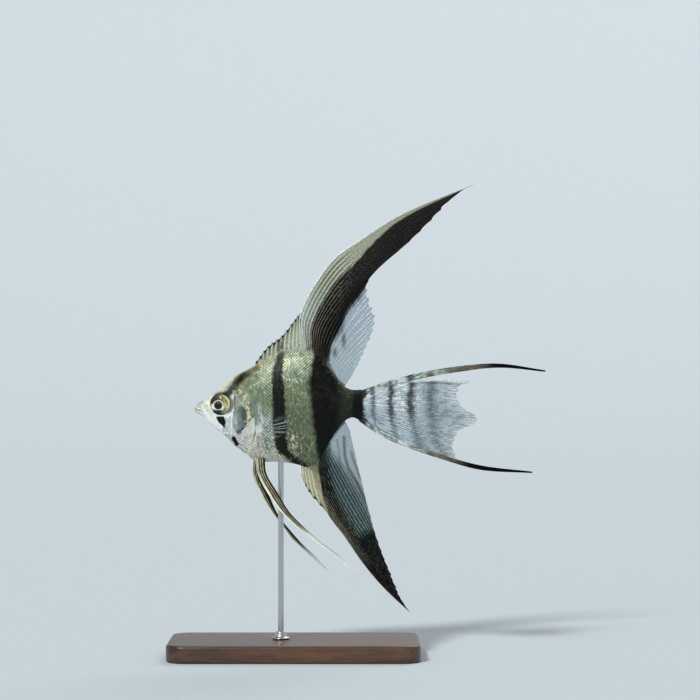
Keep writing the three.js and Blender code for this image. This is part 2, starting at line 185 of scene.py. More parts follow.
def smooth(knots):
    """Curve through (place, value) knots: cubics whose slope at a knot is that of the line between
    the knots on either side of it."""
    places, values = np.array(knots, float).T
    order = np.arange(len(places))
    before, after = np.maximum(order - 1, 0), np.minimum(order + 1, len(places) - 1)
    slopes = (values[after] - values[before]) / (places[after] - places[before])

    def curve(place):
        place = np.asarray(place, float)
        k = np.clip(np.searchsorted(places, place) - 1, 0, len(places) - 2)
        step = places[k + 1] - places[k]
        f = np.clip((place - places[k]) / step, 0, 1)
        rise = values[k + 1] - values[k]
        bend = (1 - f) * (slopes[k] * step - rise) - f * (slopes[k + 1] * step - rise)
        return values[k] + rise * f + f * (1 - f) * bend

    return curve


backline = smooth([
    (0, 1.05), (2.1, 2.6), (5.4, 5.1), (9.2, 7.4), (12.5, 10.1), (15.2, 12.5), (18.1, 14.7),
    (24, 17.8), (28.5, 20.3), (34.7, 23.6), (41.7, 25.9), (48.6, 26.9), (54.2, 25.9), (58.8, 23.2),
    (63, 18.1), (66.2, 13.4), (69.5, 10), (72.7, 8.7), (76.5, 8.7), (80, 9.9),
])
bellyline = smooth([
    (0, -1.85), (2.1, -3.1), (4.8, -5.2), (8.8, -9.2), (13.9, -12.9), (18.3, -17.3), (22.7, -20.7),
    (26.9, -23.9), (31.9, -24.9), (37, -25), (43.9, -25.5), (47.7, -26.3), (50.9, -27.4),
    (54.2, -27.2), (57.9, -23.6), (61.1, -18.1), (63.9, -13.4), (67.1, -8.8), (69.9, -5.7),
    (72.7, -4.5), (74.6, -4.9), (76.5, -6.2), (80, -8.8),
])
half_width = smooth([
    (0, 1.5), (2.5, 3), (6, 4.3), (11.6, 5.6), (18, 6.7), (25, 7.3), (31, 7.4), (40, 6.9),
    (50, 5.8), (60, 4.2), (68, 2.8), (73, 2.2), (76.5, 1.5), (80, 0.75),
])
keel = smooth([(0, 0.9), (8, 1), (20, 1.12), (35, 1.28), (60, 1.28), (76.5, 1.05), (80, 1)])


def body_point(x, turn, side):
    """z is the middle of the section plus its half depth times the sine of turn, and y its half
    width times the cosine of turn to the power of the keel. Both ends round off to a point."""
    snout_end = np.clip(1 - x / SNOUT_ROUND, 0, 1)
    tail_end = np.clip(1 - (TAIL_END - x) / TAIL_ROUND, 0, 1)
    closing = np.sqrt(np.maximum((1 - snout_end**2) * (1 - tail_end**2), 0))
    top, bottom = backline(x), bellyline(x)
    half = ((top - bottom) / 2 - COAT) * closing
    across = np.cos(turn)
    y = (half_width(x) - COAT) * closing * np.sign(across) * np.abs(across) ** keel(x)
    return np.stack(np.broadcast_arrays(x, side * y, (top + bottom) / 2 + half * np.sin(turn)), -1)


def smoothstep(low, high, value):
    """0 below low, 1 above high, and an even S between."""
    f = np.clip((value - low) / (high - low), 0, 1)
    return f * f * (3 - 2 * f)


def bump(distance, width):
    """A bell curve: e to minus the square of the distance over the width."""
    return np.exp(-((distance / width) ** 2))


def patch(x, z, middle, halves):
    """A bell curve of the distance from a point, counted in half widths and half heights."""
    return bump(np.hypot((x - middle[0]) / halves[0], (z - middle[1]) / halves[1]), 1)


def beside(x, z, line):
    """Distance from a line through [x, z] knots, and the same signed: minus to the left of the way
    the line runs."""
    best = np.full(np.shape(x), 1e9)
    signed = np.zeros(np.shape(x))
    for (ax, az), (bx, bz) in zip(line, line[1:]):
        dx, dz = bx - ax, bz - az
        f = np.clip(((x - ax) * dx + (z - az) * dz) / (dx * dx + dz * dz), 0, 1)
        ox, oz = x - ax - f * dx, z - az - f * dz
        distance = np.hypot(ox, oz)
        nearer = distance < best
        best = np.where(nearer, distance, best)
        signed = np.where(nearer, distance * np.sign(dz * ox - dx * oz), signed)
    return best, signed


GAPE = [(-1, -0.55), (1.2, -0.75), (2.8, -1.4), (4.1, -2.4)]
JAW_BONE = [(3.5, 0.4), (4.3, -1.1), (5.3, -3.0)]
CHEEK_RIDGE = [(17.6, 8.4), (17.7, 5.2), (16.9, -1.8), (17.1, -8.2), (16.2, -11.4), (13.4, -11.6)]
GILL_EDGE = [
    (20.6, 13), (22.4, 9.4), (25.6, 5.2), (27.4, -0.5), (28.3, -5.8), (27.9, -11.1), (26.6, -16.2),
    (24.2, -20.4), (22, -23.5),
]
GILL_SEAM = [(25.3, -3.6), (24.4, -7), (22.5, -10), (19.8, -12.4)]
THROAT_FOLDS = (
    [(17.6, -13.2), (20.8, -16.6), (24.4, -19)],
    [(17.2, -15), (20.4, -18.4), (23.6, -20.6)],
)
COVER_SWELL = (22.6, -3.5)              # the gill cover's fullest place
GILL_LIFT, GILL_SLOPE = 0.42, 2.4       # how far its hind edge stands up, and how soon that fades
NOSTRIL = (6.9, 4.1)
PECTORAL_BASE = (29.4, -9.8)
ORBIT, ORBIT_SQUEEZE = 5.05, 1.03       # half height of the eye's socket, and that over its half width
ORBIT_DEPTH = 2.6


def from_eye(x, z):
    """Distance from the eye's middle, counted so that the socket's oval edge lies at ORBIT."""
    return np.hypot((x - EYE_X) * ORBIT_SQUEEZE, z - EYE_Z)


def relief(x, z):
    """Height of the skin's forms over the plain section, in millimetres. Each is a bell curve, or a
    pair of them, of the distance from a point or a line, but for the socket, which falls away in an
    S, and the gill cover's edge, which rises ever faster to a step with a hollow behind it."""
    orbit = from_eye(x, z)
    height = -ORBIT_DEPTH * smoothstep(ORBIT, ORBIT - 0.5, orbit)
    height = height + 0.26 * bump(orbit - ORBIT - 0.25, 0.42) - 0.14 * bump(orbit - ORBIT - 1.2, 0.45)

    gape, _ = beside(x, z, GAPE)
    lips = smoothstep(4.6, 2.6, x)
    height = height + lips * (0.34 * bump(gape - 0.55, 0.42) - 0.45 * bump(gape, 0.17))
    height = height - 0.16 * lips * bump(gape - 1.15, 0.22)
    jaw, jaw_side = beside(x, z, JAW_BONE)
    height = height + 0.24 * bump(jaw, 0.42) - 0.2 * bump(jaw, 0.9) * (jaw_side > 0.35)

    nostril = np.hypot(x - NOSTRIL[0], z - NOSTRIL[1])
    height = height - 0.7 * bump(nostril, 0.3) + 0.12 * bump(nostril - 0.55, 0.2)

    cheek, cheek_side = beside(x, z, CHEEK_RIDGE)
    height = height + 0.24 * bump(cheek, 0.42) - 0.24 * bump(cheek_side + 0.75, 0.28)
    height = height + 0.4 * patch(x, z, COVER_SWELL, (3.15, 7.5))
    seam, _ = beside(x, z, GILL_SEAM)
    height = height - 0.2 * bump(seam, 0.3)

    _, edge = beside(x, z, GILL_EDGE)
    flap = np.exp(-np.abs(edge) / GILL_SLOPE)
    hollow = smoothstep(-2.2, -0.3, edge) - smoothstep(-0.3, 0.0, edge)
    height = height + GILL_LIFT * smoothstep(-20, -12, z) * np.where(edge > 0, flap, -hollow)

    for fold in THROAT_FOLDS:
        distance, _ = beside(x, z, fold)
        height = height - 0.22 * bump(distance, 0.28) + 0.12 * bump(distance - 0.6, 0.35)
    foot = PECTORAL_BASE[0] + 0.6, PECTORAL_BASE[1]
    return height + 0.5 * patch(x, z, foot, (1.2, 2.56))


def skin_point(x, turn, side, lift=0.0):
    """The section's point moved out along its normal by the relief and the lift. The normal is the
    cross product of the steps round and along the section."""
    step = 1e-3
    here = body_point(x, turn, side)
    onward = body_point(x + step, turn, side) - body_point(x - step, turn, side)
    round_it = body_point(x, turn + step, side) - body_point(x, turn - step, side)
    normal = side * np.cross(round_it, onward)
    normal /= np.maximum(np.linalg.norm(normal, axis=-1, keepdims=True), 1e-12)
    rise = relief(here[..., 0], here[..., 2]) + lift
    return here + normal * rise[..., None]


def lattice(u, v, seed=0.0):
    """Smooth noise from 0 to 1: a value made from the sine of each whole-numbered corner, blended
    across the square between them."""
    iu, iv = np.floor(u), np.floor(v)
    fu, fv = u - iu, v - iv
    fu, fv = fu * fu * (3 - 2 * fu), fv * fv * (3 - 2 * fv)

    def corner(du, dv):
        wave = np.sin((iu + du) * 127.1 + (iv + dv) * 311.7 + seed * 74.7) * 43758.5453
        return wave - np.floor(wave)

    low = corner(0, 0) * (1 - fu) + corner(1, 0) * fu
    high = corner(0, 1) * (1 - fu) + corner(1, 1) * fu
    return low * (1 - fv) + high * fv


def srgb(*levels):
    """Screen levels from 0 to 255 as linear light."""
    c = np.array(levels, float) / 255
    return np.where(c <= 0.04045, c / 12.92, ((c + 0.055) / 1.055) ** 2.4)


def over(under, colour, mask):
    """Lays a colour over another by a mask from 0 to 1."""
    return under + (colour - under) * np.clip(mask, 0, 1)[..., None]


def flat_tint(colour, like):
    """One colour spread over every place of an array."""
    return np.broadcast_to(colour, like.shape + (3,)).copy()


def leaning(x, z, middle, halves, lean):
    """Distance from an ellipse's middle in units of its half axes, its long axis leaning back."""
    dx, dz = x - middle[0], z - middle[1]
    across = dx * np.cos(lean) - dz * np.sin(lean)
    upward = dx * np.sin(lean) + dz * np.cos(lean)
    return np.hypot(across / halves[0], upward / halves[1])


CREAM = srgb(204, 206, 180)
BACK_CREAM = srgb(172, 184, 158)
FLANK_GREEN = srgb(134, 150, 120)
FLANK_OLIVE = srgb(104, 113, 88)
FLANK_GREY = srgb(190, 199, 190)
FLANK_TAN = srgb(222, 204, 150)
BELLY = srgb(214, 220, 200)
CHEST_CREAM = srgb(232, 226, 182)
THROAT = srgb(253, 255, 255)
CHEEK = srgb(252, 255, 252)
SNOUT = srgb(180, 190, 166)
BAR = srgb(11, 13, 10)
BAR_OLIVE = srgb(42, 43, 30)
STALK_OLIVE = srgb(46, 52, 42)
GOLD = srgb(138, 122, 72)
PALE_GOLD = srgb(242, 236, 182)
OPERCLE_BLUE = srgb(104, 124, 124)
BLUE_GREY = srgb(112, 134, 138)
LILAC = srgb(190, 192, 198)
WHITE_LINE = srgb(240, 244, 240)
PINK = srgb(222, 190, 172)
PEARL = srgb(222, 228, 200)

# Where the markings lie: the gill cover's oval, lines through [x, z] knots, and each bar's edges as
# [z, x] knots.
OVAL_MIDDLE, OVAL_HALVES, OVAL_LEAN = (20.9, -4.9), (3.2, 6.0), 0.2
NAPE_BAND = [(29, 18.9), (25.3, 16.3), (21.5, 13.5), (18.7, 11.1), (16.3, 7.8), (15.0, 6.6)]
CHEEK_SPOT = [(11.9, -4.2), (14.0, -9.0)]
THROAT_SPOT = [(18.1, -13.8), (19.5, -16.5)]
GOLD_FOLD = [(24.6, 0.6), (25.6, -2.9), (24.2, -5.6)]
GOLD_HOOK = [(28.0, -4.4), (27.2, -5.6), (25.2, -7.8)]
LATERAL_LINE = [(25, 9.6), (30, 11.9), (36.9, 12.9), (43.5, 13.3), (50, 12.7), (55.5, 11.2)]
bar2_front = smooth([
    (-27, 47.5), (-24.3, 44.2), (-22.5, 41.2), (-20.3, 38.6), (-17, 37.1), (-8, 36.2), (4, 36), (18, 36.3),
    (20.5, 37.1), (28, 38.4),
])
bar2_back = smooth([
    (-27, 53), (-24.3, 50), (-22.5, 46.5), (-20.3, 43.9), (-17, 42.9), (-8, 42.6), (4, 41.8), (9, 41.5),
    (13, 41), (20.5, 41), (28, 41.4),
])
bar3_front = smooth([(-28, 58), (-22, 57), (-10, 55.1), (4, 54.0), (12, 53.0), (19, 53.9), (27, 55.0)])


def snout_paint(x, z, mottle):
    """White cheeks, a grey green snout mottled dark and pale with a lilac sheen, and a cream
    forehead."""
    face = over(flat_tint(CHEEK, x), SNOUT, smoothstep(9.5, 5.5, x + 0.35 * z))
    muzzle = smoothstep(9.0, 4.0, x + 0.3 * z)
    smudge = smoothstep(0.5, 0.75, mottle) * smoothstep(-3.2, -1, z)
    face = over(face, FLANK_OLIVE, 0.5 * smudge * muzzle)
    face = over(face, WHITE_LINE, 0.7 * smoothstep(0.42, 0.2, mottle) * muzzle)
    face = over(face, LILAC, 0.6 * patch(x, z, (4.2, 2.9), (1.5, 0.8)))
    return over(face, CREAM, smoothstep(5.0, 2.4, backline(x) - z) * smoothstep(3, 7, x))


def cover_paint(face, x, z, mottle, fine):
    """The gill cover and the throat below it: green mottled with olive, white under it, then a
    silver patch, the blue-grey oval with its black hind edge, shine, dusk and gold flecks, and painted
    shadow to either side of the gold folds."""
    dots = smoothstep(0.55, 0.80, lattice(x * 4.6, z * 4.6, 15))
    green = smoothstep(17.6, 18.8, x) * smoothstep(-8, -1, z)
    face = over(face, FLANK_GREEN, 0.9 * green)
    face = over(face, FLANK_OLIVE, 0.85 * green * smoothstep(0.32, 0.62, mottle))
    face = over(face, CHEEK, 0.36 * green * dots)
    low = smoothstep(6.5, 2.0, z - bellyline(x))
    face = over(face, THROAT, low * smoothstep(1.5, 7, x + 0.4 * (2 - z)))
    tan = smoothstep(17.5, 20, x) * smoothstep(21, 25, x) * smoothstep(-10, -13, z)
    face = over(face, FLANK_TAN, 0.75 * tan * smoothstep(0.35, 0.6, mottle))
    face = over(face, BAR_OLIVE, 0.55 * dots * smoothstep(17, 18.5, x) * smoothstep(-11, -13.5, z))

    silver = patch(x, z, (20.8, 2.9), (2.0, 1.6))
    face = over(face, LILAC, 0.7 * silver * (1 - 0.5 * dots))
    face = over(face, BAR_OLIVE, 0.55 * silver * smoothstep(0.6, 0.8, fine))
    oval = leaning(x, z, OVAL_MIDDLE, OVAL_HALVES, OVAL_LEAN)
    inside = smoothstep(1.14, 0.86, oval + 0.14 * (mottle - 0.5))
    face = over(face, OPERCLE_BLUE, 0.94 * inside)
    for colour, strength, middle, halves in (
        (CHEEK, 0.50, (19.0, -6.4), (1.3, 4.4)),
        (FLANK_GREEN, 0.5, (21.2, -5.2), (1.2, 2.0)),
        (BAR_OLIVE, 0.75, (22.9, -1.6), (1.1, 2.6)),
    ):
        face = over(face, colour, strength * inside * patch(x, z, middle, halves))
    crescent = bump(oval - 1.06, 0.17) * smoothstep(-3.0, -5.5, z) * smoothstep(18.8, 20.2, x)
    face = over(face, BAR, 0.96 * crescent)
    shine = patch(x, z, (25.0, -8.8), (2.1, 2.8)) * (1 - inside)
    face = over(face, WHITE_LINE, 0.85 * shine * (1 - 0.4 * dots))
    face = over(face, BAR_OLIVE, 0.65 * patch(x, z, (24.7, -2.8), (0.9, 2.4)) * (1 - inside))
    broken = smoothstep(0.22, 0.42, fine)
    for fold in (GOLD_FOLD, GOLD_HOOK):
        distance, side = beside(x, z, fold)
        # Painted shadow along both sides of each gold fold.
        fold_shadow = bump(np.abs(side) - 1.05, 0.4) * bump(distance, 1.6)
        face = over(face, BAR_OLIVE, 0.7 * fold_shadow * broken)
        face = over(face, PALE_GOLD, smoothstep(0.95, 0.45, distance) * broken)
    gleam = smoothstep(0.52, 0.70, fine) * patch(x, z, (23.3, 8.0), (3.6, 5.2))
    return over(face, PALE_GOLD, 0.9 * gleam)


def line_paint(face, x, z, mottle, fine):
    """The face's lines: the white cheek ridge with its blue-grey furrow, the slit behind the eye,
    the jaw bone, the pink lips and dark mouth, the nostril and a pink patch over the eye."""
    ridge, ridge_side = beside(x, z, CHEEK_RIDGE)
    face = over(face, WHITE_LINE, 0.9 * bump(ridge, 0.5) * smoothstep(0.1, 0.4, mottle))
    face = over(face, BLUE_GREY, 0.45 * bump(ridge_side + 1.0, 0.45) * smoothstep(0.2, 0.6, fine))
    slit = smoothstep(0.42, 0.2, np.abs(x - 18.6)) * smoothstep(0.4, 1.2, z) * smoothstep(6.2, 5.2, z)
    face = over(face, BAR, 0.8 * slit)
    jaw, jaw_side = beside(x, z, JAW_BONE)
    face = over(face, WHITE_LINE, 0.8 * bump(jaw, 0.42))
    face = over(face, FLANK_OLIVE, 0.3 * bump(jaw_side - 0.8, 0.35))
    face = over(face, BLUE_GREY, 0.20 * smoothstep(0.55, 0.8, mottle) * smoothstep(6, 9, x) * (x < 17))
    gape, _ = beside(x, z, GAPE)
    pink = 0.12 + 0.26 * (z > -1)
    face = over(face, PINK, pink * bump(gape - 0.55, 0.6) * smoothstep(4.0, 2.4, x))
    face = over(face, BAR_OLIVE, 0.22 * bump(gape, 0.2) * smoothstep(4.4, 3.8, x))
    face = over(face, BAR, 0.8 * patch(x, z, NOSTRIL, (0.32, 0.32)))
    return over(face, PINK, 0.5 * patch(x, z, (12.6, 7.4), (2.0, 0.8)))


def rim_and_shade_paint(face, x, z):
    """The socket's rim: pale below and in front, olive above and behind, dark at its very edge. The olive
    above is painted shadow of the brow, the olive behind is painted shade on the socket's hind rim, and
    the dark edge is painted shade falling into the socket, strongest behind and above.
    """
    orbit = from_eye(x, z)
    pale = np.maximum(smoothstep(0.5, -2.5, z - EYE_Z), smoothstep(9.5, 7.5, x))
    face = over(face, WHITE_LINE, 0.7 * bump(orbit - ORBIT - 0.6, 0.4) * pale)
    # Painted shadow of the brow over the top of the socket.
    above = smoothstep(0, 2.5, z - EYE_Z) * smoothstep(8.0, 10.0, x)
    face = over(face, BAR_OLIVE, 0.6 * bump(orbit - ORBIT - 0.35, 0.5) * above)
    # Painted shade on the socket's hind rim.
    behind = smoothstep(13.5, 15.5, x) * smoothstep(-4, -1, z)
    face = over(face, FLANK_OLIVE, bump(orbit - ORBIT - 0.45, 0.8) * behind)
    # Painted shade at the socket's very edge, where it falls away into the eye's hollow, stronger behind and
    # above.
    dark = 0.15 + 0.65 * smoothstep(10.0, 13.0, x + 0.4 * z)
    return over(face, BAR_OLIVE, dark * smoothstep(ORBIT + 0.1, ORBIT - 0.25, orbit))


def face_paint(x, z):
    """The head's colours, laid over one another from the broadest to the finest, with a pearly
    crest along the forehead last."""
    mottle = lattice(x * 1.6, z * 1.6, 17)
    fine = lattice(x * 3.4, z * 3.4, 19)
    face = snout_paint(x, z, mottle)
    face = cover_paint(face, x, z, mottle, fine)
    face = line_paint(face, x, z, mottle, fine)
    face = rim_and_shade_paint(face, x, z)
    return over(face, PEARL, 0.5 * smoothstep(1.3, 0.4, backline(x) - z) * smoothstep(8, 12, x))


def flank_paint(x, z, level, cloud):
    """A green silver flank, cream along the back, olive in the middle and grey below in front, with
    gold and tan patches. level is 0 at the belly and 1 at the back."""
    tint = flat_tint(FLANK_GREEN, x)
    tint = over(tint, BACK_CREAM, smoothstep(0.66, 0.92, level) * smoothstep(24, 32, x))
    tint = over(tint, FLANK_OLIVE, smoothstep(0.66, 0.42, level) * (0.25 + 0.6 * smoothstep(36, 45, x)))
    tint = over(tint, FLANK_OLIVE, 0.5 * patch(x, z, (27.5, 13.5), (4.0, 3.5)))
    tint = over(tint, FLANK_GREY, 0.95 * smoothstep(0.54, 0.32, level) * smoothstep(42, 36, x))
    tint = over(tint, GOLD, 0.40 * patch(x, z, (46, 5), (2.4, 2.2)))
    tint = over(tint, FLANK_TAN, 0.45 * patch(x, z, (42.6, 20.6), (1.8, 2.4)))
    crest = smoothstep(5.5, 1.5, backline(x) - z) * smoothstep(25, 28, x) * smoothstep(37, 35, x)
    tint = over(tint, FLANK_TAN, 0.45 * crest)
    return over(tint, FLANK_OLIVE, 0.45 * smoothstep(0.45, 0.75, cloud) * smoothstep(40, 44, x))


def chest_paint(tint, x, z, level):
    """The pale belly, and on the chest between the fins upright streaks of gold, pink, white and
    olive one behind the other."""
    chest = smoothstep(-12.5, -15, z) * smoothstep(-21.5, -19, z)
    hairs = lattice(x * 3.4, z * 0.5, 25)
    tint = over(tint, BELLY, 0.8 * smoothstep(0.30, 0.04, level) * smoothstep(46, 38, x))
    tint = over(tint, CHEST_CREAM, 0.55 * patch(x, z, (26.5, -17), (5.0, 5.0)))
    for colour, strength, middle, width, low, high in (
        (GOLD, 0.45, 25.6, 2.4, 0.35, 0.7),
        (PINK, 0.35, 29.9, 2.2, 0.6, 0.3),
        (WHITE_LINE, 0.8, 29.8, 2.4, 0.5, 0.8),
        (FLANK_OLIVE, 0.75, 33.9, 2.2, 0.2, 0.6),
    ):
        streaks = bump(x - middle, width) * smoothstep(low, high, hairs)
        tint = over(tint, colour, strength * chest * streaks)
    return over(tint, CHEST_CREAM, 0.4 * patch(x, z, (39, -23), (5, 2)))


def grain_paint(tint, x, z, level, fine):
    """The flank's fine markings: gold beads in front of the third bar, pearly flecks on the back,
    and a grain of lighter and darker spots that is liveliest low towards the tail."""
    beads = smoothstep(0.5, 0.7, lattice(x * 3.6, z * 3.6, 24))
    tint = over(tint, PALE_GOLD, 0.9 * beads * patch(x, z, (45, -15.6), (2.1, 5.2)))
    tint = over(tint, PEARL, 0.25 * smoothstep(0.60, 0.82, fine) * smoothstep(0.60, 0.85, level))
    grain = smoothstep(0.15, 0.85, lattice(x * 1.25, z * 1.25, 33)) - 0.5
    low_rear = patch(x, z, (48, -20), (6.0, 6.0))
    lively = 0.16 + 0.16 * smoothstep(36, 32, x) + 0.5 * low_rear
    tint = tint * (1 + lively * grain)[..., None]
    flecks = smoothstep(0.66, 0.86, lattice(x * 1.7, z * 1.7, 35))
    return over(tint, PEARL, (0.06 + 0.5 * low_rear) * flecks)


def gill_paint(tint, x, z, cloud, fine):
    """A white edge under the belly, a slate and a flecked band behind the gill cover, the head's
    own colours in front of it, the shade and the pit at its lower edge, and the lateral line."""
    tint = over(tint, THROAT, 0.7 * smoothstep(1.6, 0.5, z - bellyline(x)) * smoothstep(45, 40, x))
    _, behind = beside(x, z, GILL_EDGE)
    slate = bump(behind + 1.5, 0.9) * smoothstep(5, 2, z) * smoothstep(-10, -6, z)
    tint = over(tint, BLUE_GREY, 0.75 * slate)
    fleck = bump(behind + 2.9, 0.9) * smoothstep(4, 0, z) * smoothstep(-17, -9, z)
    tint = over(tint, WHITE_LINE, 0.6 * fleck * smoothstep(0.1, 0.5, fine))
    tint = over(tint, face_paint(x, z), smoothstep(-0.8, 0.5, behind + 0.8 * (cloud - 0.5)))
    shade = bump(behind + 0.2, 0.3) * smoothstep(-3.5, -6, z) * smoothstep(-15, -12, z)
    tint = over(tint, BAR_OLIVE, 0.75 * shade * smoothstep(0.1, 0.5, lattice(x * 0.7, z * 0.7, 97)))
    tint = over(tint, BAR, 0.8 * patch(x, z, (29.5, -13.8), (0.5, 0.9)))
    line, _ = beside(x, z, LATERAL_LINE)
    dashes = smoothstep(0.25, 0.6, lattice(x * 0.9, z * 0.1, 31))
    return over(tint, WHITE_LINE, 0.45 * bump(line, 0.28) * dashes)


def spot_paint(tint, x, z, wave_x, wave_z):
    """The black spots on cheek and throat, each narrower downwards, and the band that runs from the
    nape to the eye: black in front, olive and fading behind, with gold along its edges."""
    for spot, size, taper in ((CHEEK_SPOT, 2.0, 0.55), (THROAT_SPOT, 1.25, 0.06)):
        distance, _ = beside(0.7 * x + 0.3 * wave_x, 0.7 * z + 0.3 * wave_z, spot)
        narrowed = size - taper * np.maximum(spot[0][1] - 1.8 - z, 0)
        filled = smoothstep(narrowed + 0.05, narrowed - 0.5, distance)
        tint = over(tint, BAR, filled * smoothstep(-3.4, -4.0, z))
    tint = tint * (1 - 0.20 * patch(x, z, (26, 8.5), (9, 5.5)))[..., None]
    band, _ = beside(wave_x, wave_z, NAPE_BAND)
    width = 1.75 - 0.75 * smoothstep(20, 28, x)
    nape = smoothstep(width + 1.1, width - 0.9, band)
    tint = over(tint, GOLD, 0.5 * smoothstep(width + 1.6, width, band) * smoothstep(17, 22, x))
    tint = over(tint, BAR_OLIVE, nape * (0.97 - 0.45 * smoothstep(21, 27, x)))
    return over(tint, BAR, 0.75 * nape * smoothstep(1.2, 0.4, band) * smoothstep(27, 21, x))


def bar_paint(tint, x, z, wave_x, cloud, fine):
    """The two upright bars: the second, with gold behind it and beaded below, and the third, which
    widens over the whole rear of the body into a dark olive stalk freckled gold along the back."""
    hind = wave_x - bar2_back(z)
    second = smoothstep(-0.8, 0.7, wave_x - bar2_front(z)) * smoothstep(0.8, -0.7, hind)
    beaded = smoothstep(0.5, 0.85, fine)
    soft = 0.98 - 0.2 * smoothstep(21, 26, z) - 0.04 * beaded * smoothstep(-6, 4, z)
    tint = over(tint, GOLD, 0.22 * bump(hind - 0.8, 1.0) * smoothstep(-1, 2, z) * smoothstep(16, 12, z))
    tint = over(tint, BAR, second * (soft - 0.4 * beaded * smoothstep(-21, -24, z)))
    third = smoothstep(-0.9 - 1.1 * bump(z - 5, 12), 1.1, wave_x - bar3_front(z))
    smoky = smoothstep(0.45, 0.8, lattice(x * 0.8, z * 0.8, 37)) * smoothstep(-6, 4, z)
    rear = over(flat_tint(BAR, x), BAR_OLIVE, 0.5 * smoky)
    rear = over(rear, STALK_OLIVE, smoothstep(64.5, 69, wave_x) * (0.6 + 0.4 * cloud))
    depth = backline(x) - z
    freckle = smoothstep(0.58, 0.8, fine) * smoothstep(7.5, 1.5, depth) * smoothstep(57, 61, x)
    rear = over(rear, GOLD, 0.5 * freckle)
    crest = smoothstep(3.0, 0.6, depth) * smoothstep(58, 63, x) * smoothstep(73, 68, x)
    rear = over(rear, GOLD, 0.30 * crest)
    rear = over(rear, BAR, 0.95 * smoothstep(72.4, 73.8, wave_x))
    return over(tint, rear, third)


def body_paint(x, z):
    """The fish's colours in linear light: the flank, the chest and their grain, then the head over
    them, then the dark spots and the black bars over all, their edges wavering with the noise."""
    wave_x = x + 0.9 * (lattice(x * 0.5, z * 0.5, 3) - 0.5) + 0.8 * (lattice(x * 1.6, z * 1.6, 5) - 0.5)
    wave_z = z + 1.2 * (lattice(x * 0.6, z * 0.6, 7) - 0.5)
    level = (wave_z - bellyline(x)) / (backline(x) - bellyline(x))
    fine = lattice(x * 2.6, z * 2.6, 23)
    cloud = lattice(x * 0.45, z * 0.7, 27)
    tint = flank_paint(x, z, level, cloud)
    tint = chest_paint(tint, x, z, level)
    tint = grain_paint(tint, x, z, level, fine)
    tint = gill_paint(tint, x, z, cloud, fine)
    tint = spot_paint(tint, x, z, wave_x, wave_z)
    return bar_paint(tint, x, z, wave_x, cloud, fine)


def outward(points, faces):
    """Turns every face of a closed mesh round if its volume, summed over fans of triangles, comes
    out negative."""
    volume = 0.0
    for block in faces:
        for k in range(1, block.shape[1] - 1):
            a, b, c = points[block[:, 0]], points[block[:, k]], points[block[:, k + 1]]
            volume += np.einsum("ij,ij->", a, np.cross(b, c))
    return faces if volume > 0 else [block[:, ::-1] for block in faces]


def build(name, points, faces, tint=None, solid=None, beads=None, weave=None, bake=None, flat_faces=None):
    """Puts millimetre points and blocks of equal-sided faces into a mesh object in metres. The
    colour, how solid and how beaded it is and the weave are kept as attributes of its points, bake
    as a UV map."""
    points = to_world(points).reshape(-1, 3)
    faces = outward(points, [np.asarray(block).reshape(-1, np.shape(block)[-1]) for block in faces])
    sizes = np.concatenate([np.full(len(block), block.shape[1]) for block in faces])
    corners = np.concatenate([block.ravel() for block in faces])
    mesh = bpy.data.meshes.new(name)
    mesh.vertices.add(len(points))
    mesh.vertices.foreach_set("co", points.ravel())
    mesh.loops.add(len(corners))
    mesh.loops.foreach_set("vertex_index", corners.astype(np.int32))
    mesh.polygons.add(len(sizes))
    starts = np.concatenate([[0], np.cumsum(sizes)[:-1]])
    mesh.polygons.foreach_set("loop_start", starts.astype(np.int32))
    mesh.update(calc_edges=True)
    rounded = np.ones(len(sizes), bool) if flat_faces is None else ~flat_faces
    mesh.polygons.foreach_set("use_smooth", rounded)
    if tint is not None:
        layer = mesh.attributes.new("tint", "FLOAT_COLOR", "POINT")
        rgba = np.ones((len(points), 4))
        rgba[:, :3] = np.clip(tint.reshape(-1, 3), 0, 1)
        layer.data.foreach_set("color", rgba.ravel())
    for attribute, values in (("solidness", solid), ("bead_glint", beads)):
        if values is not None:
            layer = mesh.attributes.new(attribute, "FLOAT", "POINT")
            layer.data.foreach_set("value", np.clip(values.ravel(), 0, 1))
    if weave is not None:
        layer = mesh.attributes.new("weave", "FLOAT_VECTOR", "POINT")
        layer.data.foreach_set("vector", weave.ravel())
    if bake is not None:
        layer = mesh.uv_layers.new(name="OFBake")
        layer.data.foreach_set("uv", bake.reshape(-1, 2)[corners].ravel())
    thing = bpy.data.objects.new(name, mesh)
    bpy.context.collection.objects.link(thing)
    return thing


def closed_rows(grid):
    """Rings of points from one pole to the other, closed by a fan round a point at each end, which
    is the mean of the ring there. Gives the points and the blocks of faces."""
    rows, sides = grid.shape[:2]
    ends = np.stack([grid[0].mean(0), grid[-1].mean(0)])
    points = np.concatenate([grid.reshape(-1, 3), ends])
    around = np.arange(sides)
    first = np.stack([np.full(sides, rows * sides), (around + 1) % sides, around], -1)
    final = (rows - 1) * sides
    second = np.stack([np.full(sides, rows * sides + 1), final + around, final + (around + 1) % sides], -1)
    return points, [grid_faces(rows, sides, wrap=True)[:, ::-1], first, second]


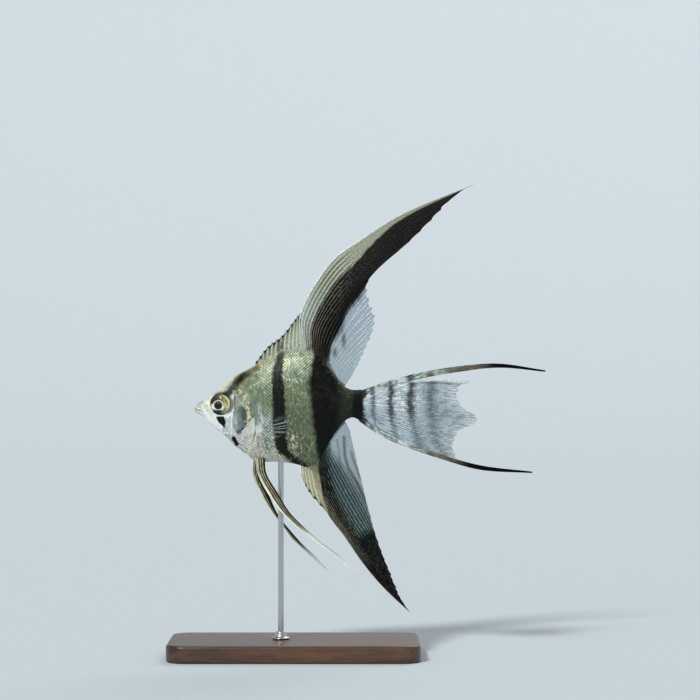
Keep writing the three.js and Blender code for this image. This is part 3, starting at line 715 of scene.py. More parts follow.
HEAD_END = 30.0                         # the head's closer columns run back to here
HEAD_COLUMNS, TRUNK_COLUMNS, ROUND_COLUMNS, SIDE_ROWS = 140, 145, 9, 128
ease = 1 - np.cos(np.linspace(0.08, np.pi / 2, ROUND_COLUMNS))
columns = np.concatenate([
    SNOUT_ROUND * ease,
    np.linspace(SNOUT_ROUND, HEAD_END, HEAD_COLUMNS)[1:],
    np.linspace(HEAD_END, TAIL_END - TAIL_ROUND, TRUNK_COLUMNS)[1:],
    TAIL_END - TAIL_ROUND * ease[::-1][1:],
])
turns = np.linspace(-np.pi / 2, np.pi / 2, SIDE_ROWS + 1)
left = skin_point(columns[:, None], turns[None, :], -1)
right = skin_point(columns[:, None], turns[None, ::-1][:, 1:-1], 1)
skin_points, skin_faces = closed_rows(np.concatenate([left, right], axis=1))
skin_tint = body_paint(skin_points[:, 0], skin_points[:, 2])
skin = build("skin", skin_points, skin_faces, tint=skin_tint)

# The colour that a bead's painted glint adds to a fin.
BEAD_GLINT = (0.34, 0.36, 0.30)


def shaded(tree, colour, shade):
    """A colour times a shade."""
    node = add(tree, "ShaderNodeVectorMath", operation="SCALE")
    tree.links.new(colour, node.inputs[0])
    tree.links.new(shade, node.inputs["Scale"])
    return node.outputs["Vector"]


def roughened(tree, shader, height, low, high, strength, depth, dents=None):
    """Gives a surface a roughness from low to high by a height, and dents by the same height or by
    one of their own, as deep as depth in metres."""
    tree.links.new(ranged(tree, height, To_Min=low, To_Max=high), shader.inputs["Roughness"])
    relief_node = add(tree, "ShaderNodeBump")
    set_values(relief_node, Strength=strength, Distance=depth)
    tree.links.new(height if dents is None else dents, relief_node.inputs["Height"])
    tree.links.new(relief_node.outputs["Normal"], shader.inputs["Normal"])


def fish_finish(name, gloss, metal, speck_scale, spread=0.22, depth=0.0001, fin=False):
    """Moist fish skin: the painted tint broken by fine darker and lighter specks, by as much as
    the spread, with a little metal under a clear wet coat, and a grain in its roughness and bump. A
    fin's specks follow its own weave of rays, it lets light through where it is not solid, and pale
    dots, one to each cell of the weave, show where it is beaded: pale joints of its rays, lightened
    into painted glints."""
    material, tree, shader = nodes_of(name)
    paint = add(tree, "ShaderNodeAttribute", attribute_name="tint")
    if fin:
        place = add(tree, "ShaderNodeAttribute", attribute_name="weave").outputs["Vector"]
        solidness = add(tree, "ShaderNodeAttribute", attribute_name="solidness")
        tree.links.new(solidness.outputs["Fac"], shader.inputs["Alpha"])
    else:
        place = add(tree, "ShaderNodeTexCoord").outputs["Object"]
    specks = noise(tree, place, Scale=speck_scale, Detail=3.0, Roughness=0.6)
    shade = ranged(tree, specks, From_Min=0.3, From_Max=0.7, To_Min=1 - spread, To_Max=1 + spread)
    colour = shaded(tree, paint.outputs["Color"], shade)
    if fin:
        # Painted glints: a pale dot in each cell of the fin's weave, as strong as its beading there.
        cells = add(tree, "ShaderNodeTexVoronoi")
        set_values(cells, Scale=1.0, Randomness=0.7)
        tree.links.new(place, cells.inputs["Vector"])
        dot = ranged(tree, cells.outputs["Distance"], From_Min=0.32, From_Max=0.10)
        bead_glint = add(tree, "ShaderNodeAttribute", attribute_name="bead_glint")
        strength = add(tree, "ShaderNodeMath", operation="MULTIPLY")
        tree.links.new(dot, strength.inputs[0])
        tree.links.new(bead_glint.outputs["Fac"], strength.inputs[1])
        beaded = add(tree, "ShaderNodeVectorMath", operation="MULTIPLY_ADD")
        beaded.inputs[1].default_value = BEAD_GLINT
        tree.links.new(strength.outputs["Value"], beaded.inputs[0])
        tree.links.new(colour, beaded.inputs[2])
        colour = beaded.outputs["Vector"]
    tree.links.new(colour, shader.inputs["Base Color"])
    roughened(tree, shader, specks, low=gloss - 0.08, high=gloss + 0.12, strength=0.25, depth=depth)
    set_values(shader, Metallic=metal, Specular_IOR_Level=0.05 if fin else 0.16)
    set_values(shader, Coat_Weight=0.02 if fin else 0.06, Coat_Roughness=0.2)
    return material


skin.data.materials.append(fish_finish("moist_skin", gloss=0.38, metal=0.05, speck_scale=2600.0))
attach(skin, "root")
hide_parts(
    "head", "lower_jaw", "gill_cover_left", "gill_cover_right", "trunk", "tail_stalk"
)

# ---- The scales ---------------------------------------------------------------------------------
# Thin horny plates in slanting rows, each rooted in the skin and lapping over the next towards the
# tail. They start behind the eye, are smallest on the cheek and stalk, and leave the snout bare.
SCALE_START, SCALE_STOP = 12.5, 76.8
SCALE_LENGTH = smooth([
    (9, 0.8), (17, 0.95), (20, 1.1), (28, 1.28), (36, 1.36), (58, 1.30), (70, 1.0), (78, 0.72),
])
ROW_SPREAD = 1.1                        # a column's scales stand this many scale lengths apart
ROOT_SUNK, TIP_RAISED = 0.14, 0.17
TURN_PLACES = 101                       # places in the table of turns round a section
BAKE_PATCH = 0.0015                     # half a scale's patch on the bake map
BAKE_LEFT, BAKE_RIGHT, BAKE_SPAN = 0.02, 0.52, 0.46     # where each side's part of the map starts

section_x = np.linspace(4.0, TAIL_END - 0.5, 160)
section_turn = np.linspace(0, np.pi / 2, 121)
section = body_point(section_x[:, None], section_turn[None, :], 1)
steps = np.linalg.norm(np.diff(section, axis=1), axis=-1)
arcs = np.concatenate([np.zeros((len(section_x), 1)), np.cumsum(steps, axis=1)], axis=1)
girth = arcs[:, -1]
share = np.linspace(0, 1, TURN_PLACES)
turn_table = np.array([np.interp(share, arc / arc[-1], section_turn) for arc in arcs])


def turn_at(x, a):
    """The turn at a distance a round the section from its middle, read between the sections and the
    even steps of a table of them."""
    k = (x - section_x[0]) / (section_x[1] - section_x[0])
    i = np.clip(np.floor(k).astype(int), 0, len(section_x) - 2)
    f = k - i
    half = girth[i] * (1 - f) + girth[i + 1] * f
    w = np.clip(np.abs(a) / half, 0, 1) * (TURN_PLACES - 1)
    j = np.clip(np.floor(w).astype(int), 0, TURN_PLACES - 2)
    g = w - j
    ahead = turn_table[i, j] * (1 - g) + turn_table[i, j + 1] * g
    behind = turn_table[i + 1, j] * (1 - g) + turn_table[i + 1, j + 1] * g
    return np.sign(a) * (ahead * (1 - f) + behind * f)


def scale_shape(steps):
    """A square grid drawn in to a disc: along = p sqrt(1 - q²/2) from root to tip and across =
    q sqrt(1 - p²/2), raised towards the tip and lower at the sides; then a point underneath that
    closes it with a fan round the rim."""
    line = np.linspace(-1, 1, steps)
    p, q = np.meshgrid(line, line, indexing="ij")
    along = (p * np.sqrt(1 - q**2 / 2)).ravel()
    across = (q * np.sqrt(1 - p**2 / 2)).ravel()
    height = (TIP_RAISED + ROOT_SUNK) * ((along + 1) / 2) ** 1.2 - ROOT_SUNK - 0.07 * across**2
    rim = rim_of(steps, steps)
    under = np.stack([rim, np.roll(rim, -1), np.full(len(rim), steps * steps)], -1)
    shape = np.stack([np.append(along, 0), np.append(across, 0), np.append(height, -0.3)])
    return shape, grid_faces(steps, steps), under


def rim_of(rows, columns):
    """The points round the edge of a grid, in the way that runs with its faces."""
    top = np.arange(columns)
    far = np.arange(1, rows) * columns + columns - 1
    bottom = (rows - 1) * columns + np.arange(columns - 1)[::-1]
    near = np.arange(1, rows - 1)[::-1] * columns
    return np.concatenate([top, far, bottom, near])


def glint(along, across, sparkle):
    """How a scale's colour varies over it: a bell curve paints a highlight across its middle, an S
    makes it darker at its rim, and the whole is as bright as its own sparkle, a random tone that
    carries a painted glint on some scales."""
    radius = np.hypot(along, across)
    shade = 0.78 + 0.95 * bump(np.hypot(along - 0.35, across * 0.8), 0.45)
    return shade * (1 - 0.60 * smoothstep(0.60, 0.92, radius)) * sparkle


def coat(name, surface, places, halves, tints, patches, steps=5, flip=None):
    """A joined mesh of scales. surface gives a point for its two parameters and a lift; places and
    halves are each scale's middle and half sizes in those parameters, patches its place on the
    bake map, and flip marks those on the far face of a sheet."""
    (along, across, height), top, under = scale_shape(steps)
    u = places[:, :1] + along * halves[:, :1]
    v = places[:, 1:] + across * halves[:, 1:]
    lift = np.broadcast_to(height, u.shape)
    points = surface(u, v, lift)
    # Each scale's own random tone, and on one scale in ten a painted glint.
    sparkle = np.random.default_rng(11).uniform(0.70, 1.22, (len(places), 1))
    sparkle = sparkle + 0.45 * (np.random.default_rng(12).random((len(places), 1)) > 0.90)
    # Each scale's colour with its painted highlight and glints.
    shade = glint(along, across, sparkle)
    tint = tints[:, None, :] * shade[..., None]
    bake = patches[:, None, :] + BAKE_PATCH * np.stack([along, across], -1)
    start = (np.arange(len(places)) * len(along))[:, None, None]
    top, under = top[None] + start, under[None] + start
    if flip is not None:
        top = np.where(flip[:, None, None], top[..., ::-1], top)
        under = np.where(flip[:, None, None], under[..., ::-1], under)
    flat_faces = np.repeat([False, True], [top.shape[0] * top.shape[1], under.shape[0] * under.shape[1]])
    return build(name, points, [top.reshape(-1, 4), under.reshape(-1, 3)], tint=tint, bake=bake,
                 flat_faces=flat_faces)


# Columns of scales half a scale's length apart, every other one set half a row higher.
columns_x = [SCALE_START - 3.5]
while columns_x[-1] < SCALE_STOP:
    columns_x.append(columns_x[-1] + 0.5 * float(SCALE_LENGTH(columns_x[-1])))
columns_x = np.array(columns_x)
row_number = np.arange(-50, 51)[None, :] + 0.5 * (np.arange(len(columns_x)) % 2)[:, None]
scale_x = np.broadcast_to(columns_x[:, None], row_number.shape).ravel()
scale_length = SCALE_LENGTH(scale_x)
scale_a = row_number.ravel() * ROW_SPREAD * scale_length
scale_girth = np.interp(scale_x, section_x, girth)
on_body = np.abs(scale_a) < scale_girth - 0.3
scale_x, scale_a, scale_length = scale_x[on_body], scale_a[on_body], scale_length[on_body]
jog = np.random.default_rng(5)
scale_x = scale_x + jog.uniform(-0.08, 0.08, scale_x.shape)
scale_a = scale_a + jog.uniform(-0.06, 0.06, scale_a.shape)
scale_z = body_point(scale_x, turn_at(scale_x, scale_a), 1)[:, 2]

_, from_gill = beside(scale_x, scale_z, GILL_EDGE)
from_ridge, _ = beside(scale_x, scale_z, CHEEK_RIDGE)
foot = np.hypot((scale_x - PECTORAL_BASE[0]) / 1.3, (scale_z - PECTORAL_BASE[1]) / 2.8)
bare = (
    (from_eye(scale_x, scale_z) < ORBIT + 1.4)
    | (scale_x < SCALE_START + 0.42 * np.maximum(scale_z + 4, 0))
    | ((from_gill > -0.5) & (from_gill < 0.9))
    | (from_ridge < 0.55)
    | (foot < 1)
    | ((backline(scale_x) - scale_z < 1.6) & (scale_x < 26))
)
scale_x, scale_a, scale_z, scale_length = (
    values[~bare] for values in (scale_x, scale_a, scale_z, scale_length)
)
scale_tint = body_paint(scale_x + 0.3 * scale_length, scale_z)
scale_size = np.stack([0.70 * scale_length, 0.60 * ROW_SPREAD * scale_length], -1)
scale_finish = fish_finish("scale_sheen", gloss=0.34, metal=0.16, speck_scale=1400.0)
for side, word, low_u in ((-1, "left", BAKE_LEFT), (1, "right", BAKE_RIGHT)):
    patch_u = low_u + BAKE_SPAN * (scale_x - SCALE_START + 5) / (SCALE_STOP - SCALE_START + 8)
    patch_v = 0.5 + BAKE_SPAN * scale_a / girth.max()
    scales = coat(
        "scales_" + word,
        lambda x, a, lift: skin_point(np.minimum(x, TAIL_END - 0.6), turn_at(x, a), side, lift),
        np.stack([scale_x, scale_a], -1),
        scale_size,
        scale_tint,
        np.stack([patch_u, patch_v], -1),
    )
    scales.data.materials.append(scale_finish)
    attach(scales, "root")

# ---- The eyes -----------------------------------------------------------------------------------
# A dark ball sunk in its socket, its iris silver and gold with a dark band across it, a black lens
# standing a little through the pupil, and a clear wet cornea domed over both.
EYE_DEPTH_AT = 4.9                      # from the middle plane to the widest part of the ball
EYE_WIDE, EYE_TALL, EYE_BULGE, EYE_BACK = 4.8, 4.9, 1.8, 3.8
EYE_LEAN_BACK, EYE_LEAN_UP = 0.17, 0.15     # the ball faces a little forwards and upwards
PUPIL_X, PUPIL_Z, PUPIL_RADIUS = -1.05, -0.42, 2.0      # from the ball's middle
IRIS_SUNK, LENS_RAISED = 0.34, 0.2
RIM_GROOVE = 0.1                        # depth of the groove round the pupil's ring
CORNEA_THICK = 0.09
BALL_ROWS, BALL_SIDES, DOME_ROWS = 84, 108, 26
IRIS_SILVER = srgb(204, 204, 152)
IRIS_CREAM = srgb(234, 236, 208)
IRIS_YELLOW = srgb(220, 226, 146)
IRIS_BROWN = srgb(128, 122, 76)
IRIS_OLIVE = srgb(86, 96, 44)
IRIS_RIM = srgb(40, 40, 28)
LENS_BLACK = srgb(5, 6, 8)


def ball_point(v, around, bulge):
    """A ball of two half ellipsoids, v from the front pole to the back one: its half width and half
    height go with the sine of v and the depth with its cosine, times the bulge in front and the
    back's depth behind."""
    dx = EYE_WIDE * np.sin(v) * np.cos(around)
    dz = EYE_TALL * np.sin(v) * np.sin(around)
    out = np.where(np.cos(v) > 0, bulge, EYE_BACK) * np.cos(v)
    y = EYE_DEPTH_AT + out + EYE_LEAN_BACK * dx - EYE_LEAN_UP * dz
    return np.stack(np.broadcast_arrays(EYE_X + dx, y, EYE_Z + dz), -1)


def iris_paint(dx, dz):
    """The eye's colours round the pupil: silver cream in front, streaked yellow cream and brown
    behind, olive above, a dark brown patch above in front and a black one below, all broken by
    streaks out from the pupil and by slanting fibres. A white ring lies at the pupil, weaker on
    top, a pale crescent near the hind rim, and the rim itself is dark."""
    px, pz = dx - PUPIL_X, dz - PUPIL_Z
    distance, bearing = np.hypot(px, pz), np.arctan2(pz, px)
    rim = np.hypot(dx / EYE_WIDE, dz / EYE_TALL)
    streak = lattice(bearing * 7, distance * 1.3, 41)
    ragged = 0.3 * (lattice(bearing * 3, 0.5, 45) - 0.5)
    fibre = lattice(2.6 * dx + 1.2 * dz, 1.1 * dz - 0.9 * dx, 47)

    def toward(degrees, width):
        """A bell curve of the bearing from the pupil: 0 is towards the tail and 90 upwards."""
        away = np.angle(np.exp(1j * (bearing - np.radians(degrees))))
        return bump(away, np.radians(width))

    ring_to = 2.14 + 0.6 * toward(198, 46) + 0.5 * toward(-32, 42)
    outer = smoothstep(ring_to - 0.12, ring_to + 0.16, distance + ragged)
    tint = flat_tint(IRIS_SILVER, dx) * ((0.4 + 0.9 * streak) * (0.75 + 0.5 * fibre))[..., None]
    tint = over(tint, IRIS_CREAM, toward(192, 46))
    tint = over(tint, IRIS_YELLOW, 0.9 * toward(30, 34) * smoothstep(0.3, 0.6, fibre))
    tint = over(tint, IRIS_BROWN, 0.75 * bump(rim - 0.64, 0.13) * toward(-2, 56))
    for colour, strength, degrees, width, broken in (
        (srgb(92, 80, 46), 0.9, 36, 30, smoothstep(0.35, 0.65, streak)),
        (srgb(92, 90, 58), 0.85, -46, 24, smoothstep(0.7, 0.4, streak)),
        (IRIS_OLIVE, 1.3, 76, 34, 1),
        (srgb(34, 28, 20), 1.9, 128, 44, 1),
        (srgb(16, 18, 14), 1.8, -96, 36, 1),
        (srgb(236, 236, 208), 0.95, -30, 36, smoothstep(0.5, 0.72, fibre)),
    ):
        tint = over(tint, colour, strength * toward(degrees, width) * outer * broken)
    ring = smoothstep(PUPIL_RADIUS - 0.1, PUPIL_RADIUS + 0.08, distance) * (1 - outer)
    tint = over(tint, srgb(246, 244, 234), ring * (1 - 0.75 * toward(82, 44)))
    tint = over(tint, srgb(242, 240, 194), 0.95 * bump(rim - 0.84, 0.075) * toward(20, 42))
    tint = over(tint, IRIS_RIM, (1 - 0.8 * toward(195, 70)) * smoothstep(0.915, 0.96, rim))
    return over(tint, LENS_BLACK, smoothstep(PUPIL_RADIUS + 0.03, PUPIL_RADIUS - 0.12, distance))


iris_finish, tree, shader = nodes_of("iris_foil")
paint = add(tree, "ShaderNodeAttribute", attribute_name="tint")
place = add(tree, "ShaderNodeTexCoord").outputs["Object"]
fibres = noise(tree, place, Scale=5200.0, Detail=2.0)
roughened(tree, shader, fibres, low=0.34, high=0.52, strength=0.3, depth=0.00005)
tree.links.new(paint.outputs["Color"], shader.inputs["Base Color"])
set_values(shader, Metallic=0.2, Specular_IOR_Level=0.3)

cornea_finish, tree, shader = nodes_of("clear_cornea")
tree.nodes.remove(shader)
glass = add(tree, "ShaderNodeBsdfTransparent")
mirror = add(tree, "ShaderNodeBsdfGlossy")
set_values(mirror, Roughness=0.03)
edge = add(tree, "ShaderNodeFresnel")
set_values(edge, IOR=1.18)
blend = add(tree, "ShaderNodeMixShader")
tree.links.new(edge.outputs["Fac"], blend.inputs["Fac"])
tree.links.new(glass.outputs["BSDF"], blend.inputs[1])
tree.links.new(mirror.outputs["BSDF"], blend.inputs[2])
tree.links.new(blend.outputs["Shader"], tree.nodes["Material Output"].inputs["Surface"])

ball_v = np.linspace(0.02, np.pi - 0.05, BALL_ROWS)[:, None]
ball_around = np.linspace(0, 2 * np.pi, BALL_SIDES, endpoint=False)[None, :]
ball = ball_point(ball_v, ball_around, EYE_BULGE)
ball_dx, ball_dz = ball[..., 0] - EYE_X, ball[..., 2] - EYE_Z
from_pupil = np.hypot(ball_dx - PUPIL_X, ball_dz - PUPIL_Z)
iris_reach = np.hypot(ball_dx / EYE_WIDE, ball_dz / EYE_TALL)
front = (np.cos(ball_v) > 0) * smoothstep(0.95, 0.84, iris_reach)
ball[..., 1] -= front * IRIS_SUNK
ball[..., 1] += front * LENS_RAISED * np.sqrt(np.clip(1 - (from_pupil / PUPIL_RADIUS) ** 2, 0, 1))
ball[..., 1] -= front * RIM_GROOVE * bump(from_pupil - 2.6, 0.3)
dome_v = np.linspace(0.02, 1.28, DOME_ROWS)[:, None]
outer = ball_point(dome_v, ball_around, EYE_BULGE)
inner = ball_point(dome_v[::-1], ball_around, EYE_BULGE)
inner[..., 1] -= CORNEA_THICK
dome = np.concatenate([outer, inner])
for side, word in ((-1, "left"), (1, "right")):
    for name, grid, finish in (("eyeball_", ball, iris_finish), ("cornea_", dome, cornea_finish)):
        points, faces = closed_rows(grid * np.array([1, side, 1]))
        tint = iris_paint(points[:, 0] - EYE_X, points[:, 2] - EYE_Z)
        eye = build(name + word, points, faces, tint=tint if finish is iris_finish else None)
        eye.data.materials.append(finish)
        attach(eye, "root")
        if finish is iris_finish:
            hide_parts("eye_" + word)

# ---- The dorsal fin -----------------------------------------------------------------------------
# Twelve stiff spines with a black-tipped web, then a longer web on soft rays that fork and sweep
# back to a long point: cream along the front, black behind it, and clear as glass towards the tail.
# It grows out of the back, whose small scales climb over its root.
DORSAL_SPINES = [
    [[27.6, 18.5], [27.9, 20], [28.1, 21.4]],
    [[33.4, 22], [33.6, 25.4], [33.8, 28.8]],
    [[39.3, 24.4], [39.6, 29.2], [40.2, 33.6]],
    [[45.4, 25.6], [45.6, 33.2], [46.2, 41.2]],
    [[51.2, 25.6], [50.0, 35.4], [49.3, 45.2]],
]
DORSAL_RAYS = [
    [[50.4, 25.6], [48.9, 44.4], [62.2, 67.0], [77.4, 78.7], [97, 90.4], [129.6, 103.7]],
    [[53.6, 24.6], [54, 38.5], [63.6, 56.9], [78, 72], [94, 85], [121, 98.6]],
    [[57, 22.6], [58, 36], [66.5, 50], [77, 61.3], [88.6, 70.6], [101.6, 79]],
    [[60.2, 19.6], [62.3, 29.5], [66.3, 38.5], [70.5, 46], [75.2, 52.8], [80.9, 59.4]],
    [[62.8, 16.2], [66, 22.5], [70, 28], [74.3, 33], [79, 37.8], [84, 42.5]],
    [[65.6, 11.8], [68.2, 15.6], [71, 18.7], [73.6, 21.6], [76.4, 24.4], [79.3, 27.1]],
    [[68.6, 8.6], [69.8, 10.8], [70.9, 12.4], [71.8, 13.7], [72.7, 15], [73.6, 16.3]],
]
FIN_ROUND = 0.3                         # distance from its edge over which a fin is rounded off
WEB_HALF = 0.10                         # half thickness of the web between rays
ROOT_HALF = 0.35                        # and what its fleshy root adds to that
SAMPLES = 10                            # grid columns from one ray to the next
BEAD_STEP = 0.8                         # from one pale bead, a painted glint, to the next along a ray
NO_FORK = 2.0                           # past a ray's tip, so that it never forks
ROOT_SCALE = 1.0                        # length of the scales over a fin's root
DORSAL_SPINE_COUNT, DORSAL_SOFT = 12, 26        # spaces between the spines, and between the rays
CLEAR_FROM = 0.535                      # share of the fin in front of its clear part

SPINE_WEB = srgb(164, 168, 148)
SPINE_PALE = srgb(222, 230, 208)
SPINE_DUSK = srgb(96, 86, 84)
SHADOW_BROWN = srgb(70, 60, 54)
FIN_CREAM = srgb(230, 240, 230)
FIN_CREAM_WEB = srgb(134, 146, 136)
FIN_WHITE = srgb(232, 240, 236)
FIN_BLACK = srgb(5, 6, 7)
FIN_BROWN = srgb(84, 75, 63)
ROOT_BROWN = srgb(164, 158, 138)
GAP_BROWN = srgb(92, 78, 66)
TAN_WEB = srgb(76, 80, 68)
FIN_TAN = srgb(192, 196, 172)
FIN_NAVY = srgb(14, 19, 28)
CLEAR_RAY = srgb(196, 214, 222)
CLEAR_WEB = srgb(62, 94, 110)


def counts(total, f):
    """How much each of total evenly numbered points counts at fraction f of the smooth curve
    through them: a cubic whose slope at a point is that of the line between its neighbours."""
    order = np.arange(total)
    unit = np.eye(total)
    before, after = np.maximum(order - 1, 0), np.minimum(order + 1, total - 1)
    slopes = (unit[after] - unit[before]) / (after - before)[:, None]
    place = np.clip(f, 0, 1) * (total - 1)
    k = np.clip(np.floor(place).astype(int), 0, total - 2)
    g = (place - k)[..., None]
    rise = unit[k + 1] - unit[k]
    bend = (1 - g) * (slopes[k] - rise) - g * (slopes[k + 1] - rise)
    return unit[k] + rise * g + g * (1 - g) * bend


def sheet(guides, s, t):
    """A fin's middle sheet: s runs across the guide rays and t along them, each a smooth curve."""
    guides = np.array(guides, float)
    rows, places = guides.shape[:2]
    return np.einsum("...r,...p,rpa->...a", counts(rows, s), counts(places, t), guides)


def comb(s, t, rays, fork, width=0.13):
    """1 on a ray and 0 on the web between. rays counts the spaces, with a ray at either end too.
    Each ray forks past fork into two, which spread to a quarter of a space to either side."""
    phase = np.abs(s * rays - np.round(s * rays))
    spread = 0.25 * smoothstep(fork, fork + 0.3, t)
    return bump(np.abs(phase - spread), width)


def ray_lengths(guides, s):
    """Length of the ray at each s, summed over short straight steps."""
    t = np.linspace(0, 1, 40)
    path = sheet(guides, np.asarray(s)[..., None], t)
    return np.linalg.norm(np.diff(path, axis=-2), axis=-1).sum(-1)


def even_grid(across, along):
    """Even steps from 0 to 1 across a fin and along it."""
    return np.meshgrid(np.linspace(0, 1, across), np.linspace(0, 1, along), indexing="ij")


def fin_grid(guides, rays, rows, notch, stagger, seed, whole=0.0):
    """Grid of a fin: s across it, and t along each ray as far as the fin reaches there. The edge is
    cut back between rays by notch and each ray by a random part of stagger, in millimetres; whole
    keeps that share of the front uncut."""
    s, t = even_grid(rays * SAMPLES + 1, rows)
    across = s[:, 0]
    phase = np.abs(across * rays - np.round(across * rays))
    ragged = np.random.default_rng(seed).random(rays + 1)
    cut = notch * (1 - bump(phase, 0.22))
    cut = cut + stagger * np.interp(across * rays, np.arange(rays + 1), ragged)
    cut = cut * smoothstep(whole, whole + 0.05, across)
    reach = 1 - cut / ray_lengths(guides, across)
    return s, t * reach[:, None]


def fin_shell(guides, rays, s, t, swing, half, tint, solid, beads=0.0):
    """Closes a fin's grid into a thin shell: two faces half a thickness to each side of the sheet,
    rounded off in a quarter circle within FIN_ROUND of the edges, and a strip round the rim. Its
    weave counts twice for each ray across and once for each BEAD_STEP along, and lies apart on
    the far face."""
    flat = sheet(guides, s, t)
    steps = np.linalg.norm(np.diff(flat, axis=0), axis=-1)
    from_front = np.concatenate([np.zeros((1, s.shape[1])), np.cumsum(steps, axis=0)])
    side = np.minimum(from_front, from_front[-1:] - from_front)
    tip_steps = np.linalg.norm(np.diff(flat, axis=1), axis=-1)
    from_root = np.concatenate([np.zeros((s.shape[0], 1)), np.cumsum(tip_steps, axis=1)], axis=1)
    inside = np.minimum(side, from_root[:, -1:] - from_root)
    edge = np.sqrt(np.clip(1 - (1 - np.minimum(inside / FIN_ROUND, 1)) ** 2, 0.01, 1))
    y = swing(s, t)
    half = half * edge
    x, z = flat[..., 0], flat[..., 1]
    faces = np.stack([np.stack([x, y - half, z], -1), np.stack([x, y + half, z], -1)])
    rows, columns = s.shape
    front = grid_faces(rows, columns)
    rim = rim_of(rows, columns)
    after = np.roll(rim, -1)
    count = rows * columns
    strip = np.stack([rim, after, after + count, rim + count], -1)
    weave = np.stack([2 * rays * s, from_root / BEAD_STEP, 0 * s], -1).reshape(-1, 3)
    return (
        faces.reshape(-1, 3),
        np.concatenate([front, front[:, ::-1] + count, strip]),
        np.concatenate([tint.reshape(-1, 3)] * 2),
        np.concatenate([solid.ravel()] * 2),
        np.concatenate([(beads + 0 * s).ravel()] * 2),
        np.concatenate([weave, weave + (0, 0, 9)]),
    )


def join_shells(name, shells, slot, *nodes):
    """Makes one piece of several shells, with the fin's finish, and fixes it to the body."""
    start = 0
    faces = []
    for points, shell_faces, *_ in shells:
        faces.append(outward(points, [shell_faces])[0] + start)
        start += len(points)
    points, _, tint, solid, beads, weave = (np.concatenate(parts) for parts in zip(*shells))
    piece = build(name, points, [np.concatenate(faces)], tint=tint, solid=solid, beads=beads, weave=weave)
    piece.data.materials.append(fin_finish)
    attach(piece, "root")
    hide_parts(*nodes)


def wave_along(depth, across, onward):
    """A fin's gentle wave out of the middle plane: depth times t to the power of one and a half, a
    straight rise towards the back, and the sine of the two parameters times their own rates."""
    return lambda s, t: depth * np.maximum(t, 0) ** 1.5 * (0.3 + 0.7 * s) * np.sin(across * s + onward * t)


def upright(s, t):
    """No wave: the sheet stays in the middle plane."""
    return 0 * s


def spiny_web(guides, spines, rows, notch, cover):
    """The front part of a fin: stiff spines with the web notched behind each, grey green between
    pale spines, browner towards the edge, then cover's colours over that and a black margin."""
    s, t = fin_grid(guides, spines, rows, notch, stagger=0.0, seed=1)
    flat = sheet(guides, s, t)
    x, z = flat[..., 0], flat[..., 1]
    ridge = comb(s, t, spines, NO_FORK, width=0.14)
    length = ray_lengths(guides, s[:, 0])[:, None]
    to_edge = (t[:, -1:] - t) * length
    tint = over(flat_tint(SPINE_WEB, x), SPINE_PALE, 0.85 * ridge)
    tint = over(tint, SPINE_DUSK, 0.5 * (1 - ridge) * smoothstep(8.0, 2.0, to_edge))
    tint = cover(tint, x, z, s, ridge)
    margin = smoothstep(2.2, 0.9, to_edge + 0.9 * ridge)
    tint = over(tint, FIN_NAVY, 0.96 * margin)
    solid = 0.88 + 0.12 * ridge
    half = WEB_HALF + 0.05 + ridge * (0.36 - 0.16 * t)
    return fin_shell(guides, spines, s, t, upright, half, tint, solid)


def bar_shadow(tint, x, z, s, ridge):
    """The second bar's soft reach up into the dorsal spines."""
    place = smoothstep(37.4, 38.6, x) * smoothstep(41.8, 40.4, x) * smoothstep(34, 28, z)
    return over(tint, SHADOW_BROWN, 0.7 * place)


def ripple_of(s, t, slow, quick):
    """A slow waver and a quick one, each from its own seed, by which a fin's colours stray."""
    return 0.035 * (lattice(t * 9, s * 5, slow) - 0.5) + 0.02 * (lattice(t * 30, s * 26, quick) - 0.5)


def glassy_paint(ridge):
    """Clear web with pale rays."""
    return over(flat_tint(CLEAR_WEB, ridge), CLEAR_RAY, ridge)


